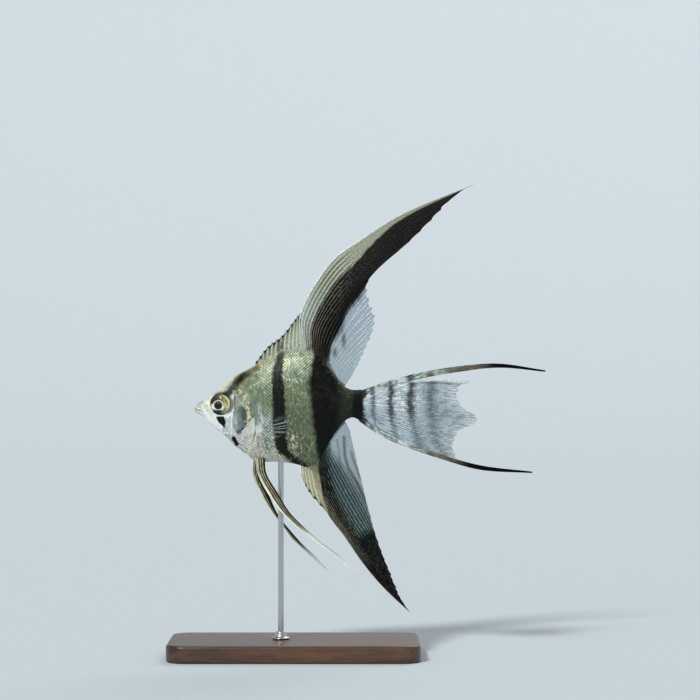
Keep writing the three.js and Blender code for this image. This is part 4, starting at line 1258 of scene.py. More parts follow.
def dorsal_paint(s, t, ridge):
    """The soft dorsal's colours, how much of it is clear and how beaded it is: a cream band along
    the front, black behind it with brown rays, then clear web with pale rays and dark streaks, and
    a white leading edge."""
    flat = sheet(DORSAL_RAYS, s, t)
    x, z = flat[..., 0], flat[..., 1]
    ripple = ripple_of(s, t, 43, 47)
    high = smoothstep(0.12, 0.42, t)
    # Where the rays' joints carry painted glints.
    beads = 0.08 + 0.60 * bump(t - 0.38, 0.22) * smoothstep(0.46, 0.24, s)
    speck = lattice(t * 62, s * 60, 45)
    root_ray = over(flat_tint(FIN_BROWN, x), ROOT_BROWN, smoothstep(0.46, 0.22, s))
    fading = 1 - 0.9 * smoothstep(0.15, 0.55, t)
    tint = over(flat_tint(FIN_BLACK, x), root_ray, ridge**1.6 * (0.5 + 0.6 * speck) * fading)

    light_to = 0.20 - 0.03 * smoothstep(0.05, 0.25, t) + 0.015 * bump(t - 0.45, 0.15)
    light_to = light_to - 0.08 * smoothstep(0.6, 0.95, t)
    light = smoothstep(light_to + 0.02, light_to - 0.02, s + 0.35 * ripple + 0.02 * (speck - 0.5))
    pale = over(flat_tint(FIN_CREAM_WEB, x), FIN_CREAM, 0.2 + 0.8 * ridge)
    tan = over(flat_tint(TAN_WEB, x), FIN_TAN, 0.1 + 0.9 * ridge)
    pale = over(pale, tan, high)
    gaps = (1 - ridge**2) * smoothstep(0.02, 0.12, s) * smoothstep(0.38, 0.05, t)
    pale = over(pale, GAP_BROWN, 0.9 * gaps)
    tint = over(tint, pale, light)
    beads = beads * (1 - 0.6 * light) + 0.12 * light * high

    clear = smoothstep(CLEAR_FROM - 0.03, CLEAR_FROM + 0.03, s + ripple)
    streak = patch(x, z, (68.9, 31.5), (1.0, 3.2)) + patch(x, z, (64.8, 25.7), (1.0, 2.0))
    tint = over(tint, over(glassy_paint(ridge), FIN_NAVY, 0.7 * streak), clear)
    lead = smoothstep(0.026, 0.008, s) * smoothstep(0.14, 0.22, t) * smoothstep(0.95, 0.7, t)
    tint = over(tint, FIN_WHITE, 0.85 * lead)
    return tint, clear * (1 - 0.5 * np.clip(streak, 0, 1)), beads * (1 - clear)


def soft_half(s, t, ridge):
    """Half thickness of a soft fin: its web, its rays, which thin towards their tips, a fleshy root
    and a stouter leading edge."""
    root = ROOT_HALF * smoothstep(0.16, 0.0, t)
    return WEB_HALF + ridge * (0.28 - 0.2 * t) + root + 0.12 * bump(s, 0.02)


def root_scales(name, guides, across, reach, swing, paint, sign):
    """The scales over a fin's root, on both faces, one for each of across places along it and half
    a place on in every other row, rows half a scale apart. They follow the fin up as far as reach,
    in millimetres, shrink on the way, and turn from the body's colour to the fin's. sign is 1 for a
    fin that stands on the back and -1 for one that hangs below."""
    row, column = np.meshgrid(np.arange(1, 22), np.arange(across), indexing="ij")
    s = ((column + 0.5 * (row % 2) + 0.25) / across).ravel()
    distance = (row * 0.5 * ROOT_SCALE).ravel() - 0.3
    kept = (distance < reach(s)) & (s < 1)
    s, distance = s[kept], distance[kept]
    share = distance / reach(s)
    ray = ray_lengths(guides, s)
    t = distance / ray
    flat = sheet(guides, s, t)
    inner = np.where(sign > 0, backline(flat[:, 0]) - 1.0, bellyline(flat[:, 0]) + 1.0)
    tint = over(body_paint(flat[:, 0], inner), paint(s, t), smoothstep(0.1, 0.7, share))
    size = np.stack([0.70 * ROOT_SCALE * (1 - 0.3 * share) / ray, 0.62 / across + 0 * s], -1)
    face = np.repeat([-1.0, 1.0], len(s))[:, None]
    patch_u = BAKE_LEFT + BAKE_SPAN * (flat[:, 0] - 20) / 70
    patch_v = 0.5 + 0.4 * flat[:, 1] / 60

    def surface(t, s, lift):
        flat = sheet(guides, np.clip(s, 0, 1), np.clip(t, 0, 1))
        thick = WEB_HALF + 0.14 + ROOT_HALF * smoothstep(0.16, 0.0, t)
        return np.stack([flat[..., 0], swing(s, t) + face * (thick + lift), flat[..., 1]], -1)

    scales = coat(
        name,
        surface,
        np.tile(np.stack([t, s], -1), (2, 1)),
        np.tile(size, (2, 1)),
        np.tile(tint, (2, 1)),
        np.stack([np.concatenate([patch_u, patch_u + BAKE_RIGHT - BAKE_LEFT]), np.tile(patch_v, 2)], -1),
        flip=face[:, 0] * sign > 0,
    )
    scales.data.materials.append(scale_finish)
    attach(scales, "root")


fin_finish = fish_finish(
    "fin_web", gloss=0.42, metal=0.05, speck_scale=1.0, spread=0.42, depth=0.00008, fin=True
)
dorsal_wave = wave_along(depth=1.1, across=2.2, onward=2.6)
s, t = fin_grid(DORSAL_RAYS, DORSAL_SOFT, rows=120, notch=1.2, stagger=1.4, seed=2, whole=0.16)
ridge = comb(s, t, DORSAL_SOFT, 0.30 + 0.3 * smoothstep(0.45, 0.6, s))
dorsal_tint, clear, beads = dorsal_paint(s, t, ridge)
solid = 1 - clear * (0.70 - 0.60 * ridge * (1 - 0.3 * t))
half = soft_half(s, t, ridge)
join_shells(
    "dorsal_fin_web",
    [
        spiny_web(DORSAL_SPINES, DORSAL_SPINE_COUNT, rows=30, notch=0.8, cover=bar_shadow),
        fin_shell(DORSAL_RAYS, DORSAL_SOFT, s, t, dorsal_wave, half, dorsal_tint, solid, beads),
    ],
    "fin_dark",
    "dorsal_fin",
)
root_scales(
    "dorsal_root_scales",
    DORSAL_RAYS,
    DORSAL_SOFT,
    lambda s: 1.4 + 1.6 * smoothstep(0.1, 0.2, s) + 7 * bump(s - 0.3, 0.2) - 1.4 * smoothstep(0.5, 0.6, s),
    dorsal_wave,
    lambda s, t: dorsal_paint(s, t, 0.1 + 0 * s)[0],
    1,
)
root_scales(
    "dorsal_spine_scales",
    DORSAL_SPINES,
    26,
    lambda s: 0.6 + 2.0 * s + 1.2 * lattice(s * 26, 0.5, 107),
    upright,
    lambda s, t: flat_tint(BACK_CREAM, s),
    1,
)

# ---- The anal fin -------------------------------------------------------------------------------
# The dorsal fin's match below, scaled at its root too: six spines in a cream web, then soft rays,
# black behind the cream and slate blue behind that, clear near the tail, all drawn down to a black
# point.
ANAL_SPINES = [
    [[47.5, -25], [48.5, -28.4], [49.6, -31.8]],
    [[51, -26], [51.6, -32.4], [52.6, -38.8]],
    [[54.8, -26], [57.4, -37.3], [60.9, -48.4]],
]
ANAL_RAYS = [
    [[53, -26], [60.2, -46.5], [69.5, -60], [77.8, -72.2], [87.5, -83.6], [99.5, -94.5]],
    [[55.2, -25], [61.5, -41.5], [69, -54], [76.5, -66.5], [84.8, -77.5], [96.3, -89.6]],
    [[57.4, -22], [63.2, -35.5], [69, -46.5], [75.7, -57.4], [82.7, -67.2], [91.6, -78.6]],
    [[60.4, -17], [65.6, -27.5], [70.5, -36.5], [75.2, -45], [80.1, -54], [85.4, -63]],
    [[63, -12.4], [67, -19], [70.8, -25.5], [74, -31.8], [77.2, -38], [80.2, -45.5]],
    [[66, -8.2], [68.4, -11.8], [70.5, -15], [72.2, -18.4], [73.9, -22.2], [75.6, -26.5]],
    [[68.8, -4.6], [69.8, -6.6], [70.7, -8], [71.2, -9.2], [71.7, -10.5], [72.3, -12]],
]
ANAL_SPINE_COUNT, ANAL_SOFT = 6, 26
CREAM_EDGE = [(56.5, -26), (56.6, -28.2), (58.2, -33.9), (59.6, -41.5), (61.5, -46.7)]
BAND_CREAM = srgb(218, 228, 194)
BAND_BROWN = srgb(150, 136, 106)
BAND_PINK = srgb(176, 128, 100)
BAND_WHITE = srgb(246, 248, 240)
ANAL_BLACK = srgb(10, 17, 18)
ANAL_BROWN = srgb(104, 98, 80)
SPECKLED_WEB = srgb(50, 46, 38)
LIGHT_WEB, LIGHT_RAY = srgb(140, 134, 104), srgb(216, 216, 180)
SLATE = srgb(32, 50, 52)
SLATE_RAY = srgb(134, 160, 156)
ROOT_OLIVE = srgb(156, 152, 122)


def cream_band(tint, x, z, s, ridge):
    """The anal fin's cream front: a white edge and pale first spines, browner web between, pink
    low down, and black behind the line where the cream ends."""
    _, side = beside(x, z, CREAM_EDGE)
    tint = over(tint, BAND_CREAM, 0.6)
    tint = over(tint, BAND_BROWN, 0.65 * (1 - ridge))
    tint = over(tint, BAND_PINK, 0.65 * patch(x, z, (60.5, -44), (2.5, 2.5)))
    tint = over(tint, FIN_BLACK, 0.9 * smoothstep(-0.4, 0.4, -side))
    tint = over(tint, FIN_WHITE, 0.9 * ridge**0.5 * smoothstep(0.42, 0.25, s))
    return over(tint, BAND_WHITE, 0.95 * smoothstep(0.17, 0.10, s))


# Each dark streak's line, how wide it is and how dark.
ANAL_STREAKS = (
    ([(65.8, -14.5), (66.8, -21), (67.7, -27.3)], 0.5, 0.5),
    ([(69, -13.5), (69.4, -22.2), (71, -27.8), (75, -34.6), (79.4, -43.5)], 0.75, 0.9),
    ([(72.4, -20.5), (73.8, -25.5), (76.7, -32.2)], 0.6, 0.7),
)


def anal_paint(s, t, ridge):
    """The soft anal fin's colours, how much of it is clear and how much slate, and how beaded it
    is: cream at the root then speckled brown along the front, a black band, slate with pale rays,
    clear web with dark streaks near the tail, and a black tip with a white leading edge."""
    flat = sheet(ANAL_RAYS, s, t)
    x, z = flat[..., 0], flat[..., 1]
    ripple = ripple_of(s, t, 59, 61)
    speck = lattice(t * 62, s * 60, 63)
    flecks = smoothstep(0.45, 0.8, speck)
    # Where the rays' joints carry painted glints.
    beads = 0.08 + 0.62 * smoothstep(0.2, 0.5, t)
    past_root = smoothstep(0.16, 0.42, t)
    tint = over(flat_tint(ANAL_BLACK, x), ANAL_BROWN, ridge * (0.55 + 0.4 * flecks) * past_root)
    tint = over(tint, FIN_TAN, 0.35 * ridge**1.5 * smoothstep(0.3, 0.7, speck) * (1 - past_root))

    slate = smoothstep(0.24, 0.40, s + ripple - 0.08 * smoothstep(0.3, 0.1, t))
    slaty = over(flat_tint(SLATE, x), SLATE_RAY, ridge * (0.65 + 0.3 * flecks))
    tint = over(tint, slaty, slate)
    clear = smoothstep(0.50, 0.72, s + ripple + 0.1 * smoothstep(-35, -15, z))
    tint = over(tint, over(glassy_paint(ridge), slaty, 0.6 * smoothstep(-22, -40, z)), clear)
    streak = 0 * x
    for line, width, depth in ANAL_STREAKS:
        streak = np.maximum(streak, depth * bump(beside(x, z, line)[0], width))
    tint = over(tint, FIN_NAVY, 0.9 * streak)

    speckled = over(flat_tint(SPECKLED_WEB, x), FIN_TAN, ridge * (0.30 + 0.5 * flecks))
    brown = smoothstep(0.18, 0.12, s + 0.6 * ripple) * smoothstep(0.14, 0.22, t)
    tint = over(tint, speckled, 0.9 * brown)
    beads = beads + 0.25 * brown
    light_to = 0.20 - 0.17 * smoothstep(0.02, 0.24, t)
    light = smoothstep(light_to + 0.02, light_to - 0.02, s + 0.5 * ripple) * smoothstep(0.26, 0.2, t)
    tint = over(tint, over(flat_tint(LIGHT_WEB, x), LIGHT_RAY, ridge), light)
    dark = smoothstep(0, -7, z + 54 + 0.6 * (79 - x) + 10 * ripple)
    fine_rays = ridge * smoothstep(0.30, 0.12, s) * smoothstep(-76, -66, z) * (0.4 + 0.6 * flecks)
    tip = over(flat_tint(FIN_BLACK, x), FIN_TAN, 0.8 * fine_rays)
    tip = over(tip, FIN_BROWN, 0.5 * flecks * ridge)
    tint = over(tint, tip, 0.94 * dark)
    lead = smoothstep(0.03, 0.01, s) * smoothstep(0.25, 0.6, t) * smoothstep(0.97, 0.8, t)
    tint = over(tint, FIN_WHITE, 0.8 * lead)
    beads = beads * (1 - 0.7 * dark) * (1 - 0.8 * clear)
    return tint, clear * (1 - 0.5 * streak) * (1 - dark), slate * (1 - dark), beads


anal_wave = wave_along(depth=-1.0, across=1.8, onward=2.9)
s, t = fin_grid(ANAL_RAYS, ANAL_SOFT, rows=120, notch=1.1, stagger=1.5, seed=3, whole=0.14)
ridge = comb(s, t, ANAL_SOFT, 0.82)
anal_tint, clear, slate, beads = anal_paint(s, t, ridge)
solid = 1 - clear * (0.66 - 0.56 * ridge) - 0.16 * slate * (1 - ridge) * (1 - clear)
half = soft_half(s, t, ridge)
join_shells(
    "anal_fin_web",
    [
        spiny_web(ANAL_SPINES, ANAL_SPINE_COUNT, rows=34, notch=0.9, cover=cream_band),
        fin_shell(ANAL_RAYS, ANAL_SOFT, s, t, anal_wave, half, anal_tint, solid, beads),
    ],
    "fin_dark",
    "anal_fin",
)
root_scales(
    "anal_root_scales",
    ANAL_RAYS,
    ANAL_SOFT,
    lambda s: 3.0 + 6.0 * bump(s - 0.22, 0.2) - 1.4 * smoothstep(0.5, 0.6, s),
    anal_wave,
    lambda s, t: anal_paint(s, t, 0.15 + 0 * s)[0],
    -1,
)
root_scales(
    "anal_spine_scales",
    ANAL_SPINES,
    10,
    lambda s: 0.3 + 2.8 * s,
    upright,
    lambda s, t: flat_tint(ROOT_OLIVE, s),
    -1,
)

# ---- The tail fin -------------------------------------------------------------------------------
# A clear fan of forked rays crossed by dark bars, frayed at its hind edge, between two long
# streamers: whitish and marbled along the fan, then brown, then black to their points.
TAIL_RAYS = [
    [[76.2, 6.9], [89.4, 10.6], [101, 13.2], [115, 13.6], [129.6, 12.4]],
    [[76.2, 4.6], [87, 7.2], [98, 9.6], [110, 10.2], [122.6, 9.0]],
    [[76.2, 2.6], [88, 3.6], [99.5, 4], [111.5, 3.2], [123.8, 1.4]],
    [[76.2, 0.6], [90, -0.4], [104, -2], [118, -4], [132, -5.6]],
    [[76.2, -1.2], [88, -4], [100, -7], [111, -9.4], [122.5, -11.5]],
    [[76.2, -2.8], [87.5, -7.5], [98.5, -12], [109.5, -15.6], [120.6, -18]],
    [[76.2, -4.6], [87, -11.2], [98, -16.3], [110, -20.4], [122, -23.6]],
]
TAIL_UPPER = [
    [[76.4, 8.0], [89.4, 12.5], [104, 16.4], [121.8, 19.4], [141, 20.6], [162.4, 17.5]],
    [[76.4, 6.0], [89.6, 10.0], [104, 13.5], [121.8, 16.7], [141, 18.7], [162.2, 16.8]],
]
TAIL_LOWER = [
    [[76.4, -4.0], [87, -10.5], [98.8, -16], [115, -21.7], [133, -26.6], [156.2, -29.4]],
    [[76.0, -6.1], [86.3, -13.0], [98.3, -18.2], [115, -23.9], [133, -28.7], [156.2, -30.1]],
]
# Each bar's middle, how wide it is and how dark.
TAIL_BARS = ((82.4, 0.9, 0.7), (90.6, 1.5, 0.95), (99.8, 2.0, 0.95), (109.0, 2.2, 0.5))
TAIL_FAN_RAYS, STREAMER_RAYS = 16, 4    # spaces between the rays of each
TAIL_RAY_GREY = srgb(136, 152, 160)
TAIL_BAR = srgb(24, 26, 28)
STREAMER_PALE = srgb(238, 246, 240)
STREAMER_GREY = srgb(128, 148, 146)
STREAMER_BROWN = srgb(62, 56, 38)
STREAMER_SPOT = srgb(84, 76, 48)
STREAMER_CORE = srgb(108, 88, 52)


def tail_bars(x, z):
    """How dark the tail's cross bars are: bell curves across each bar's middle, which bows back
    with the square of the height and wavers, fading towards the lower lobe."""
    bars = 0.0
    for middle, width, depth in TAIL_BARS:
        bowed = x - middle - 0.01 * (z - 3) ** 2 + 1.2 * (lattice(x * 0.7, z * 0.9, 71) - 0.5)
        bars = bars + depth * bump(bowed, width)
    return np.clip(bars, 0, 1) * (1 - 0.5 * smoothstep(-1, -9, z))


def tail_paint(s, t, x, z, ridge, mist):
    """The fan's colours: clear web and rays with white dashes above and a white blotch below, slate
    towards the hind edge, the dark bars, the upper streamer's pale edge, and at the root the dark
    flesh of the stalk, which creeps out farthest along the two edges. Gives how solid it is too."""
    bars = tail_bars(x, z)
    hind = smoothstep(98, 114, x)
    dashes = smoothstep(0.40, 0.75, lattice(x * 0.55, s * 34, 79)) * smoothstep(112, 100, x)
    tint = over(flat_tint(CLEAR_WEB, x), CLEAR_RAY, 0.15 + 0.85 * ridge)
    tint = over(tint, FIN_WHITE, 0.85 * dashes * smoothstep(0.75, 0.35, s))
    blotch = patch(x, z - 0.45 * (90 - x), (97, -13.5), (9.0, 1.6))
    tint = over(tint, FIN_WHITE, 0.6 * blotch * smoothstep(0.4, 0.7, mist))
    tint = over(tint, SLATE, (0.15 + 0.45 * smoothstep(0.35, 0.7, mist)) * hind)
    tint = over(tint, TAIL_RAY_GREY, 0.8 * ridge * hind)
    tint = over(tint, TAIL_BAR, 0.94 * bars)
    upper_edge = smoothstep(0.085, 0.05, s) * smoothstep(97, 102, x)
    tint = over(tint, STREAMER_PALE, 0.85 * upper_edge * (0.5 + 0.5 * mist))
    tint = over(tint, FIN_NAVY, 0.8 * bump(s - 0.105, 0.02) * smoothstep(100, 108, x))
    creep = 78.0 + 2.2 * smoothstep(0.28, 0.0, s) + 1.8 * smoothstep(0.75, 1.0, s)
    creep = creep + 2.2 * (lattice(s * 22, 0.5, 81) - 0.5)
    flesh = smoothstep(0.7, -0.5, x - creep)
    tint = over(tint, BAR_OLIVE, 0.95 * flesh)
    solid = 0.26 + 0.58 * ridge + 0.6 * bars + 0.35 * dashes + 0.4 * blotch + flesh
    solid = solid + hind * (0.16 * smoothstep(0.35, 0.7, mist) - 0.14 * ridge) + 0.5 * upper_edge
    return tint, solid - 0.25 * smoothstep(0.75, 1.0, t) * (1 - upper_edge)


def streamer_paint(s, x, z, ridge, white_to, black_from):
    """A streamer's colours: grey marbled with white and barred along the fan, brown from white_to
    on, and black past black_from, with a brown spot and a brown core on the way."""
    marble = smoothstep(0.30, 0.65, lattice(x * 0.6, s * 5, 83))
    tint = over(flat_tint(STREAMER_GREY, x), STREAMER_PALE, 0.35 * ridge + 0.65 * marble)
    tint = over(tint, SLATE, 0.6 * (1 - ridge) * (1 - 0.6 * marble))
    tint = over(tint, FIN_NAVY, 0.85 * tail_bars(x, z * 0.4) * smoothstep(112, 104, x))
    tint = over(tint, STREAMER_SPOT, 0.8 * patch(x, s, (109, 0.6), (2.6, 0.7)))
    tint = over(tint, BAR_OLIVE, 0.95 * smoothstep(80.6, 78.4, x))
    brown = smoothstep(white_to - 9, white_to + 5, x + 3 * (marble - 0.5))
    tint = over(tint, STREAMER_BROWN, brown * (0.6 + 0.4 * ridge))
    core = bump(s - 0.5, 0.3) * bump(x - black_from + 8, 9)
    tint = over(tint, STREAMER_CORE, 0.7 * core)
    return over(tint, FIN_BLACK, smoothstep(black_from - 8, black_from + 4, x))


s, t = fin_grid(TAIL_RAYS, TAIL_FAN_RAYS, rows=110, notch=0.8, stagger=1.2, seed=4)
flat = sheet(TAIL_RAYS, s, t)
x, z = flat[..., 0], flat[..., 1]
ridge = comb(s, t, TAIL_FAN_RAYS, 0.18)
mist = lattice(x * 0.5, z * 1.1, 73)
tail_tint, solid = tail_paint(s, t, x, z, ridge, mist)
half = 0.08 + ridge * (0.24 - 0.16 * t) + ROOT_HALF * smoothstep(0.12, 0.0, t)
# Where the rays' joints carry painted glints.
beads = 0.5 * smoothstep(0.45, 0.6, mist) * bump(x - 108, 7) * smoothstep(0.8, 0.4, s)
tail_wave = wave_along(depth=1.5, across=3.0, onward=3.4)
shells = [fin_shell(TAIL_RAYS, TAIL_FAN_RAYS, s, t, tail_wave, half, tail_tint, solid, beads)]


def wave_at(edge_s):
    """The fan's wave at one of its edges, which the streamer there follows."""
    return lambda s, t: tail_wave(edge_s + 0 * s, t)


for guides, edge_s, white_to, black_from in (
    (TAIL_UPPER, 0.0, 118.0, 136.0),
    (TAIL_LOWER, 1.0, 113.0, 124.0),
):
    s, t = even_grid(25, 150)
    flat = sheet(guides, s, t)
    ridge = comb(s, t, STREAMER_RAYS, NO_FORK, width=0.18)
    tint = streamer_paint(s, flat[..., 0], flat[..., 1], ridge, white_to, black_from)
    half = 0.16 + ridge * (0.22 - 0.08 * t) + 0.3 * smoothstep(0.1, 0.0, t)
    solid = 0.97 + 0 * s
    shells.append(fin_shell(guides, STREAMER_RAYS, s, t, wave_at(edge_s), half, tint, solid))
join_shells(
    "tail_fin_web",
    shells,
    "fin_membrane",
    "caudal_fin",
    "caudal_streamer_upper",
    "caudal_streamer_lower",
)

# ---- The pectoral fins --------------------------------------------------------------------------
# A small fan on each side behind the gill cover, of eight silvery rays in a web so clear that the
# bar behind shows through. It stands out from the body on a short fleshy foot.
PECTORAL_RAYS = [
    [[29.2, -8], [35.4, -5.7], [42.3, -2.6]],
    [[29.4, -8.9], [36.4, -7.1], [44.8, -4.8]],
    [[29.4, -9.8], [36.8, -9.2], [45.3, -8]],
    [[29.3, -10.7], [36.2, -11.1], [43, -11.4]],
    [[29, -11.6], [33.8, -13.2], [38.5, -14.8]],
]
PECTORAL_SPACES = 7                     # spaces between the rays
PECTORAL_STAND, PECTORAL_SPLAY = 5.9, 7.4       # from the middle plane to its root, and from there out
PECTORAL_WEB, PECTORAL_SILVER = srgb(140, 156, 152), srgb(168, 174, 170)


def pectoral_swing(side):
    """Stands the fin away from the body: out from its root in proportion to t, less across its
    middle by half the wave of a sine, and rippled by a cosine."""
    def swing(s, t):
        ripple = 0.25 * np.cos(9 * s) - 1.2 * np.sin(np.pi * s)
        return side * (PECTORAL_STAND + (PECTORAL_SPLAY + ripple) * t)

    return swing


s, t = fin_grid(PECTORAL_RAYS, PECTORAL_SPACES, rows=40, notch=0.4, stagger=1.2, seed=6)
ridge = comb(s + 0.035 * np.sin(13 * s), t, PECTORAL_SPACES, NO_FORK, width=0.10)
fleshy = smoothstep(0.11, 0.03, t)
pectoral_tint = over(flat_tint(PECTORAL_WEB, s), PECTORAL_SILVER, ridge)
pectoral_tint = over(pectoral_tint, FLANK_GREY, 0.9 * fleshy)
strength = 1.0 - 0.7 * smoothstep(0.2, 0.9, s)
solid = 0.02 + strength * ridge * (1 - 0.85 * smoothstep(0.7, 0.98, t)) + 0.7 * fleshy
half = 0.04 + ridge * (0.12 - 0.08 * t) + 0.35 * fleshy
for side, word in ((-1, "left"), (1, "right")):
    swing = pectoral_swing(side)
    join_shells(
        "pectoral_web_" + word,
        [fin_shell(PECTORAL_RAYS, PECTORAL_SPACES, s, t, swing, half, pectoral_tint, solid)],
        "fin_membrane",
        "pectoral_fin_" + word,
    )

# ---- The pelvic fins ----------------------------------------------------------------------------
# Two long streamers under the throat: each a stiff white spine in front, then cream and olive rays
# bound together, a black hind edge, and a pale thread of a tip.
PELVIC = {
    "left": [
        [[27.9, -22.6], [29.3, -30.3], [33.6, -38.6], [41, -48.6], [54.2, -60], [75.4, -75.9]],
        [[30.2, -22.8], [31.3, -30.4], [35.9, -38.5], [42.8, -48.5], [55.0, -59.6], [71.3, -71.8]],
        [[32.4, -23], [33.4, -30.4], [38.2, -38.4], [44.6, -48.4], [55.9, -59.1], [66.4, -67.1]],
    ],
    "right": [
        [[27.2, -22.4], [26.7, -31], [30, -40], [36.2, -50], [46, -62.4], [62.7, -77.4]],
        [[28.9, -22.6], [28.4, -31.1], [31.9, -39.9], [37.3, -50], [46.9, -62.1], [59.4, -73.6]],
        [[30.6, -22.8], [30, -31.2], [33.8, -39.8], [38.4, -50], [47.8, -61.8], [55.5, -69.4]],
    ],
}
PELVIC_SPACES = 4                       # spaces between the rays
PELVIC_STAND, PELVIC_SPLAY = 1.9, 8.5   # from the middle plane to its root, and from there out
PELVIC_CREAM = srgb(204, 200, 164)
PELVIC_TAN = srgb(150, 124, 80)
PELVIC_OLIVE = srgb(40, 38, 26)
PELVIC_WHITE = srgb(244, 246, 232)
PELVIC_TIP = srgb(226, 236, 230)


def pelvic_paint(s, t, ridge, black_from, black_to):
    """A streamer's colours: cream rays mottled tan in a dark olive web, a white spine in front that
    is duller at its root, a black edge behind black_from as far as black_to, and a pale tip."""
    mottle = lattice(t * 30, s * 5, 89)
    rays = over(flat_tint(PELVIC_CREAM, s), PELVIC_TAN, 0.75 * smoothstep(0.4, 0.7, mottle))
    tint = over(flat_tint(PELVIC_OLIVE, s), rays, ridge * (1.0 - 0.35 * s))
    spine = smoothstep(0.28, 0.16, s) * (0.45 + 0.55 * smoothstep(0.12, 0.36, t))
    tint = over(tint, PELVIC_WHITE, spine * (1 - 0.2 * mottle))
    edge = smoothstep(black_from - 0.06, black_from + 0.06, s)
    tint = over(tint, FIN_BLACK, 0.95 * edge * smoothstep(black_to + 0.05, black_to - 0.05, t))
    pale = smoothstep(black_to - 0.02, black_to + 0.1, t)
    return over(tint, PELVIC_TIP, pale * (0.95 - 0.5 * smoothstep(0.6, 0.9, s)))


def pelvic_swing(side):
    """Stands the streamer away from the middle plane: farther out along it, ever more slowly, and
    a little more at its hind edge, which also curls by a sine of t."""
    def swing(s, t):
        return side * (PELVIC_STAND + PELVIC_SPLAY * t * (1.5 - 0.5 * t) + 0.4 * s + 0.3 * np.sin(7 * t) * s)

    return swing


for side, word, black_from, black_to in ((-1, "left", 0.80, 0.70), (1, "right", 0.60, 0.84)):
    s, t = even_grid(61, 170)
    ridge = comb(s, t, PELVIC_SPACES, NO_FORK, width=0.22)
    tint = pelvic_paint(s, t, ridge, black_from, black_to)
    half = 0.12 + ridge * (0.26 - 0.12 * t) + 0.34 * bump(s, 0.12) * (1 - 0.6 * t)
    join_shells(
        "pelvic_web_" + word,
        [fin_shell(PELVIC[word], PELVIC_SPACES, s, t, pelvic_swing(side), half, tint, 0.98 + 0 * s)],
        "fin_streamer",
        "pelvic_fin_" + word,
    )

# ---- The stand ----------------------------------------------------------------------------------
# A rounded block of dark oiled walnut, and a thin brushed steel rod that stands in a turned steel
# ferrule on it and runs up into the fish's belly.
WOOD_LIGHT, WOOD_DARK = srgb(104, 70, 46), srgb(46, 28, 18)
STEEL_LIGHT, STEEL_DARK = (0.66, 0.67, 0.68), (0.40, 0.41, 0.42)
BASE_CORNER, BASE_ROUND = 9.0, 1.2      # plan corners, and the rounded upper and lower edges
ARC_STEPS = 12                          # points in a quarter of a circle
BORE_GAP = 0.02                         # between the ferrule's bore and the rod


def box_of(node):
    """A node's lowest and highest corners in fish millimetres."""
    low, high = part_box(node)
    return tuple((np.array(corner) - np.array([snout_x, 0.0, snout_z])) / mm for corner in (low, high))


def rounded_block(low, high, corner, edge):
    """Rings round a block, each a rectangle with round corners drawn in by an inset: the rings run
    out along the bottom, up the side and in along the top, and near the two edges the inset follows
    a quarter circle."""
    turn = np.linspace(0, np.pi / 2, ARC_STEPS)
    inset_round, level_round = edge * (1 - np.sin(turn)), edge * (1 - np.cos(turn))
    inner = np.linspace(0.98, 0.2, 6) * (high[1] - low[1]) / 2
    tall = high[2] - low[2]
    inset = np.concatenate([inner, inset_round, inset_round[::-1], inner[::-1]])
    level = np.concatenate([0 * inner, level_round, tall - level_round[::-1], tall + 0 * inner])
    rings = []
    for inward, height in zip(inset, level):
        round_off = max(corner - inward, 0.05)
        half_x = (high[0] - low[0]) / 2 - inward - round_off
        half_y = (high[1] - low[1]) / 2 - inward - round_off
        ring = []
        for k, (sign_x, sign_y) in enumerate(((1, 1), (-1, 1), (-1, -1), (1, -1))):
            bearing = turn + k * np.pi / 2
            ring.append(np.stack([
                sign_x * half_x + round_off * np.cos(bearing),
                sign_y * half_y + round_off * np.sin(bearing),
                np.full(ARC_STEPS, height),
            ], -1))
        rings.append(np.concatenate(ring))
    middle = (low + high) / 2
    return np.array(rings) + np.array([middle[0], middle[1], low[2]])


def arc(middle, halves, start, stop):
    """Points of an ellipse round its middle, from one bearing in degrees to another."""
    bearing = np.radians(np.linspace(start, stop, 8))
    return np.stack([
        middle[0] + halves[0] * np.cos(bearing),
        middle[1] + halves[1] * np.sin(bearing),
    ], -1)


def turned(profile, x, sides=48):
    """A profile of [radius, height] points turned about an upright axis."""
    bearing = np.linspace(0, 2 * np.pi, sides, endpoint=False)
    radius, height = profile.T[:, :, None]
    return np.stack(np.broadcast_arrays(x + radius * np.cos(bearing), radius * np.sin(bearing), height), -1)


def stretched(tree, scale, turn=(0.0, 0.0, 0.0)):
    """The piece's own place in metres, stretched and then turned, for a grain that runs one way."""
    node = add(tree, "ShaderNodeMapping")
    set_values(node, Scale=scale, Rotation=turn)
    tree.links.new(add(tree, "ShaderNodeTexCoord").outputs["Object"], node.inputs["Vector"])
    return node.outputs["Vector"]


def ramp(tree, value, low, high):
    """A colour that goes evenly from one to another, each given as the value it stands at and its
    levels."""
    node = add(tree, "ShaderNodeValToRGB")
    for stop, (position, levels) in zip(node.color_ramp.elements, (low, high)):
        stop.position = position
        stop.color = (*levels, 1.0)
    tree.links.new(value, node.inputs["Fac"])
    return node.outputs["Color"]


walnut, tree, shader = nodes_of("oiled_walnut")
grain_way = stretched(tree, (4.0, 46.0, 60.0), (0.0, 0.06, 0.03))
bands = noise(tree, grain_way, Scale=1.6, Detail=6.0, Roughness=0.62, Distortion=0.7)
pores = noise(tree, grain_way, Scale=22.0, Detail=3.0)
pore_shade = ranged(tree, pores, From_Min=0.35, From_Max=0.55, To_Min=0.6, To_Max=1.0)
wood_tint = shaded(tree, ramp(tree, bands, (0.36, WOOD_DARK), (0.66, WOOD_LIGHT)), pore_shade)
tree.links.new(wood_tint, shader.inputs["Base Color"])
roughened(tree, shader, bands, low=0.30, high=0.52, strength=0.35, depth=0.0002, dents=pores)
set_values(shader, Coat_Weight=0.15, Coat_Roughness=0.25)

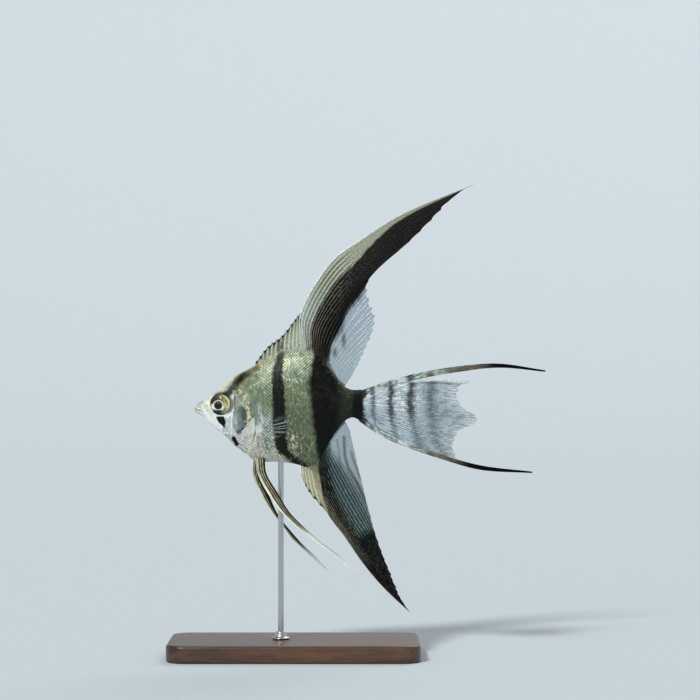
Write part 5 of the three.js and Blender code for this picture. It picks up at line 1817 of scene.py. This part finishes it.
steel, tree, shader = nodes_of("brushed_steel")
brushing = noise(tree, stretched(tree, (5000.0, 5000.0, 50.0)), Scale=1.0, Detail=4.0)
steel_tint = ramp(tree, brushing, (0.0, STEEL_DARK), (1.0, STEEL_LIGHT))
tree.links.new(steel_tint, shader.inputs["Base Color"])
roughened(tree, shader, brushing, low=0.20, high=0.42, strength=0.12, depth=0.00003)
set_values(shader, Metallic=1.0)

base_low, base_high = box_of("stand_base")
rod_low, rod_high = box_of("stand_rod")
ferrule_low, ferrule_high = box_of("stand_ferrule")
rod_x = (rod_low[0] + rod_high[0]) / 2
rod_radius = (rod_high[0] - rod_low[0]) / 2
foot, top = ferrule_low[2], ferrule_high[2]
flange = (ferrule_high[0] - ferrule_low[0]) / 2
# The ferrule: a rounded flange, a hollow sweep up to a rounded collar, and a bore round the rod.
ferrule_profile = np.concatenate([
    [(rod_radius + BORE_GAP, foot), (flange - 0.25, foot)],
    arc((flange - 0.35, foot + 0.3), (0.35, 0.35), 0, 90),
    arc((flange - 0.5, foot + 1.85), (1.1, 1.1), -90, -180),
    [(rod_radius + 0.9, top - 0.5)],
    arc((rod_radius + 0.5, top - 0.4), (0.4, 0.4), 0, 90),
    [(rod_radius + BORE_GAP, top)],
])
# The rod: a short rounded foot, forty even rings and a rounder top.
rod_levels = rod_low[2] + np.linspace(0.02, 0.98, 40) * (rod_high[2] - rod_low[2])
rod_profile = np.concatenate([
    arc((0, rod_low[2] + 0.15), (rod_radius, 0.15), -90, 0)[1:],
    np.stack([rod_radius + 0 * rod_levels, rod_levels], -1),
    arc((0, rod_high[2] - 0.4), (rod_radius, 0.4), 0, 90)[:-1],
])
block_points, block_faces = closed_rows(rounded_block(base_low, base_high, BASE_CORNER, BASE_ROUND))
rod_points, rod_faces = closed_rows(turned(rod_profile, rod_x))
collar = turned(ferrule_profile, rod_x)
collar_faces = grid_faces(len(collar) + 1, collar.shape[1], wrap=True) % (collar.shape[0] * collar.shape[1])
for name, points, faces, finish, slot, node in (
    ("base_block", block_points, block_faces, walnut, "stand_wood", "stand_base"),
    ("steel_rod", rod_points, rod_faces, steel, "stand_steel", "stand_rod"),
    ("steel_ferrule", collar.reshape(-1, 3), [collar_faces], steel, "stand_steel", "stand_ferrule"),
):
    piece = build("stand_" + name, points, faces)
    piece.data.materials.append(finish)
    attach(piece, "root")
    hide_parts(node)
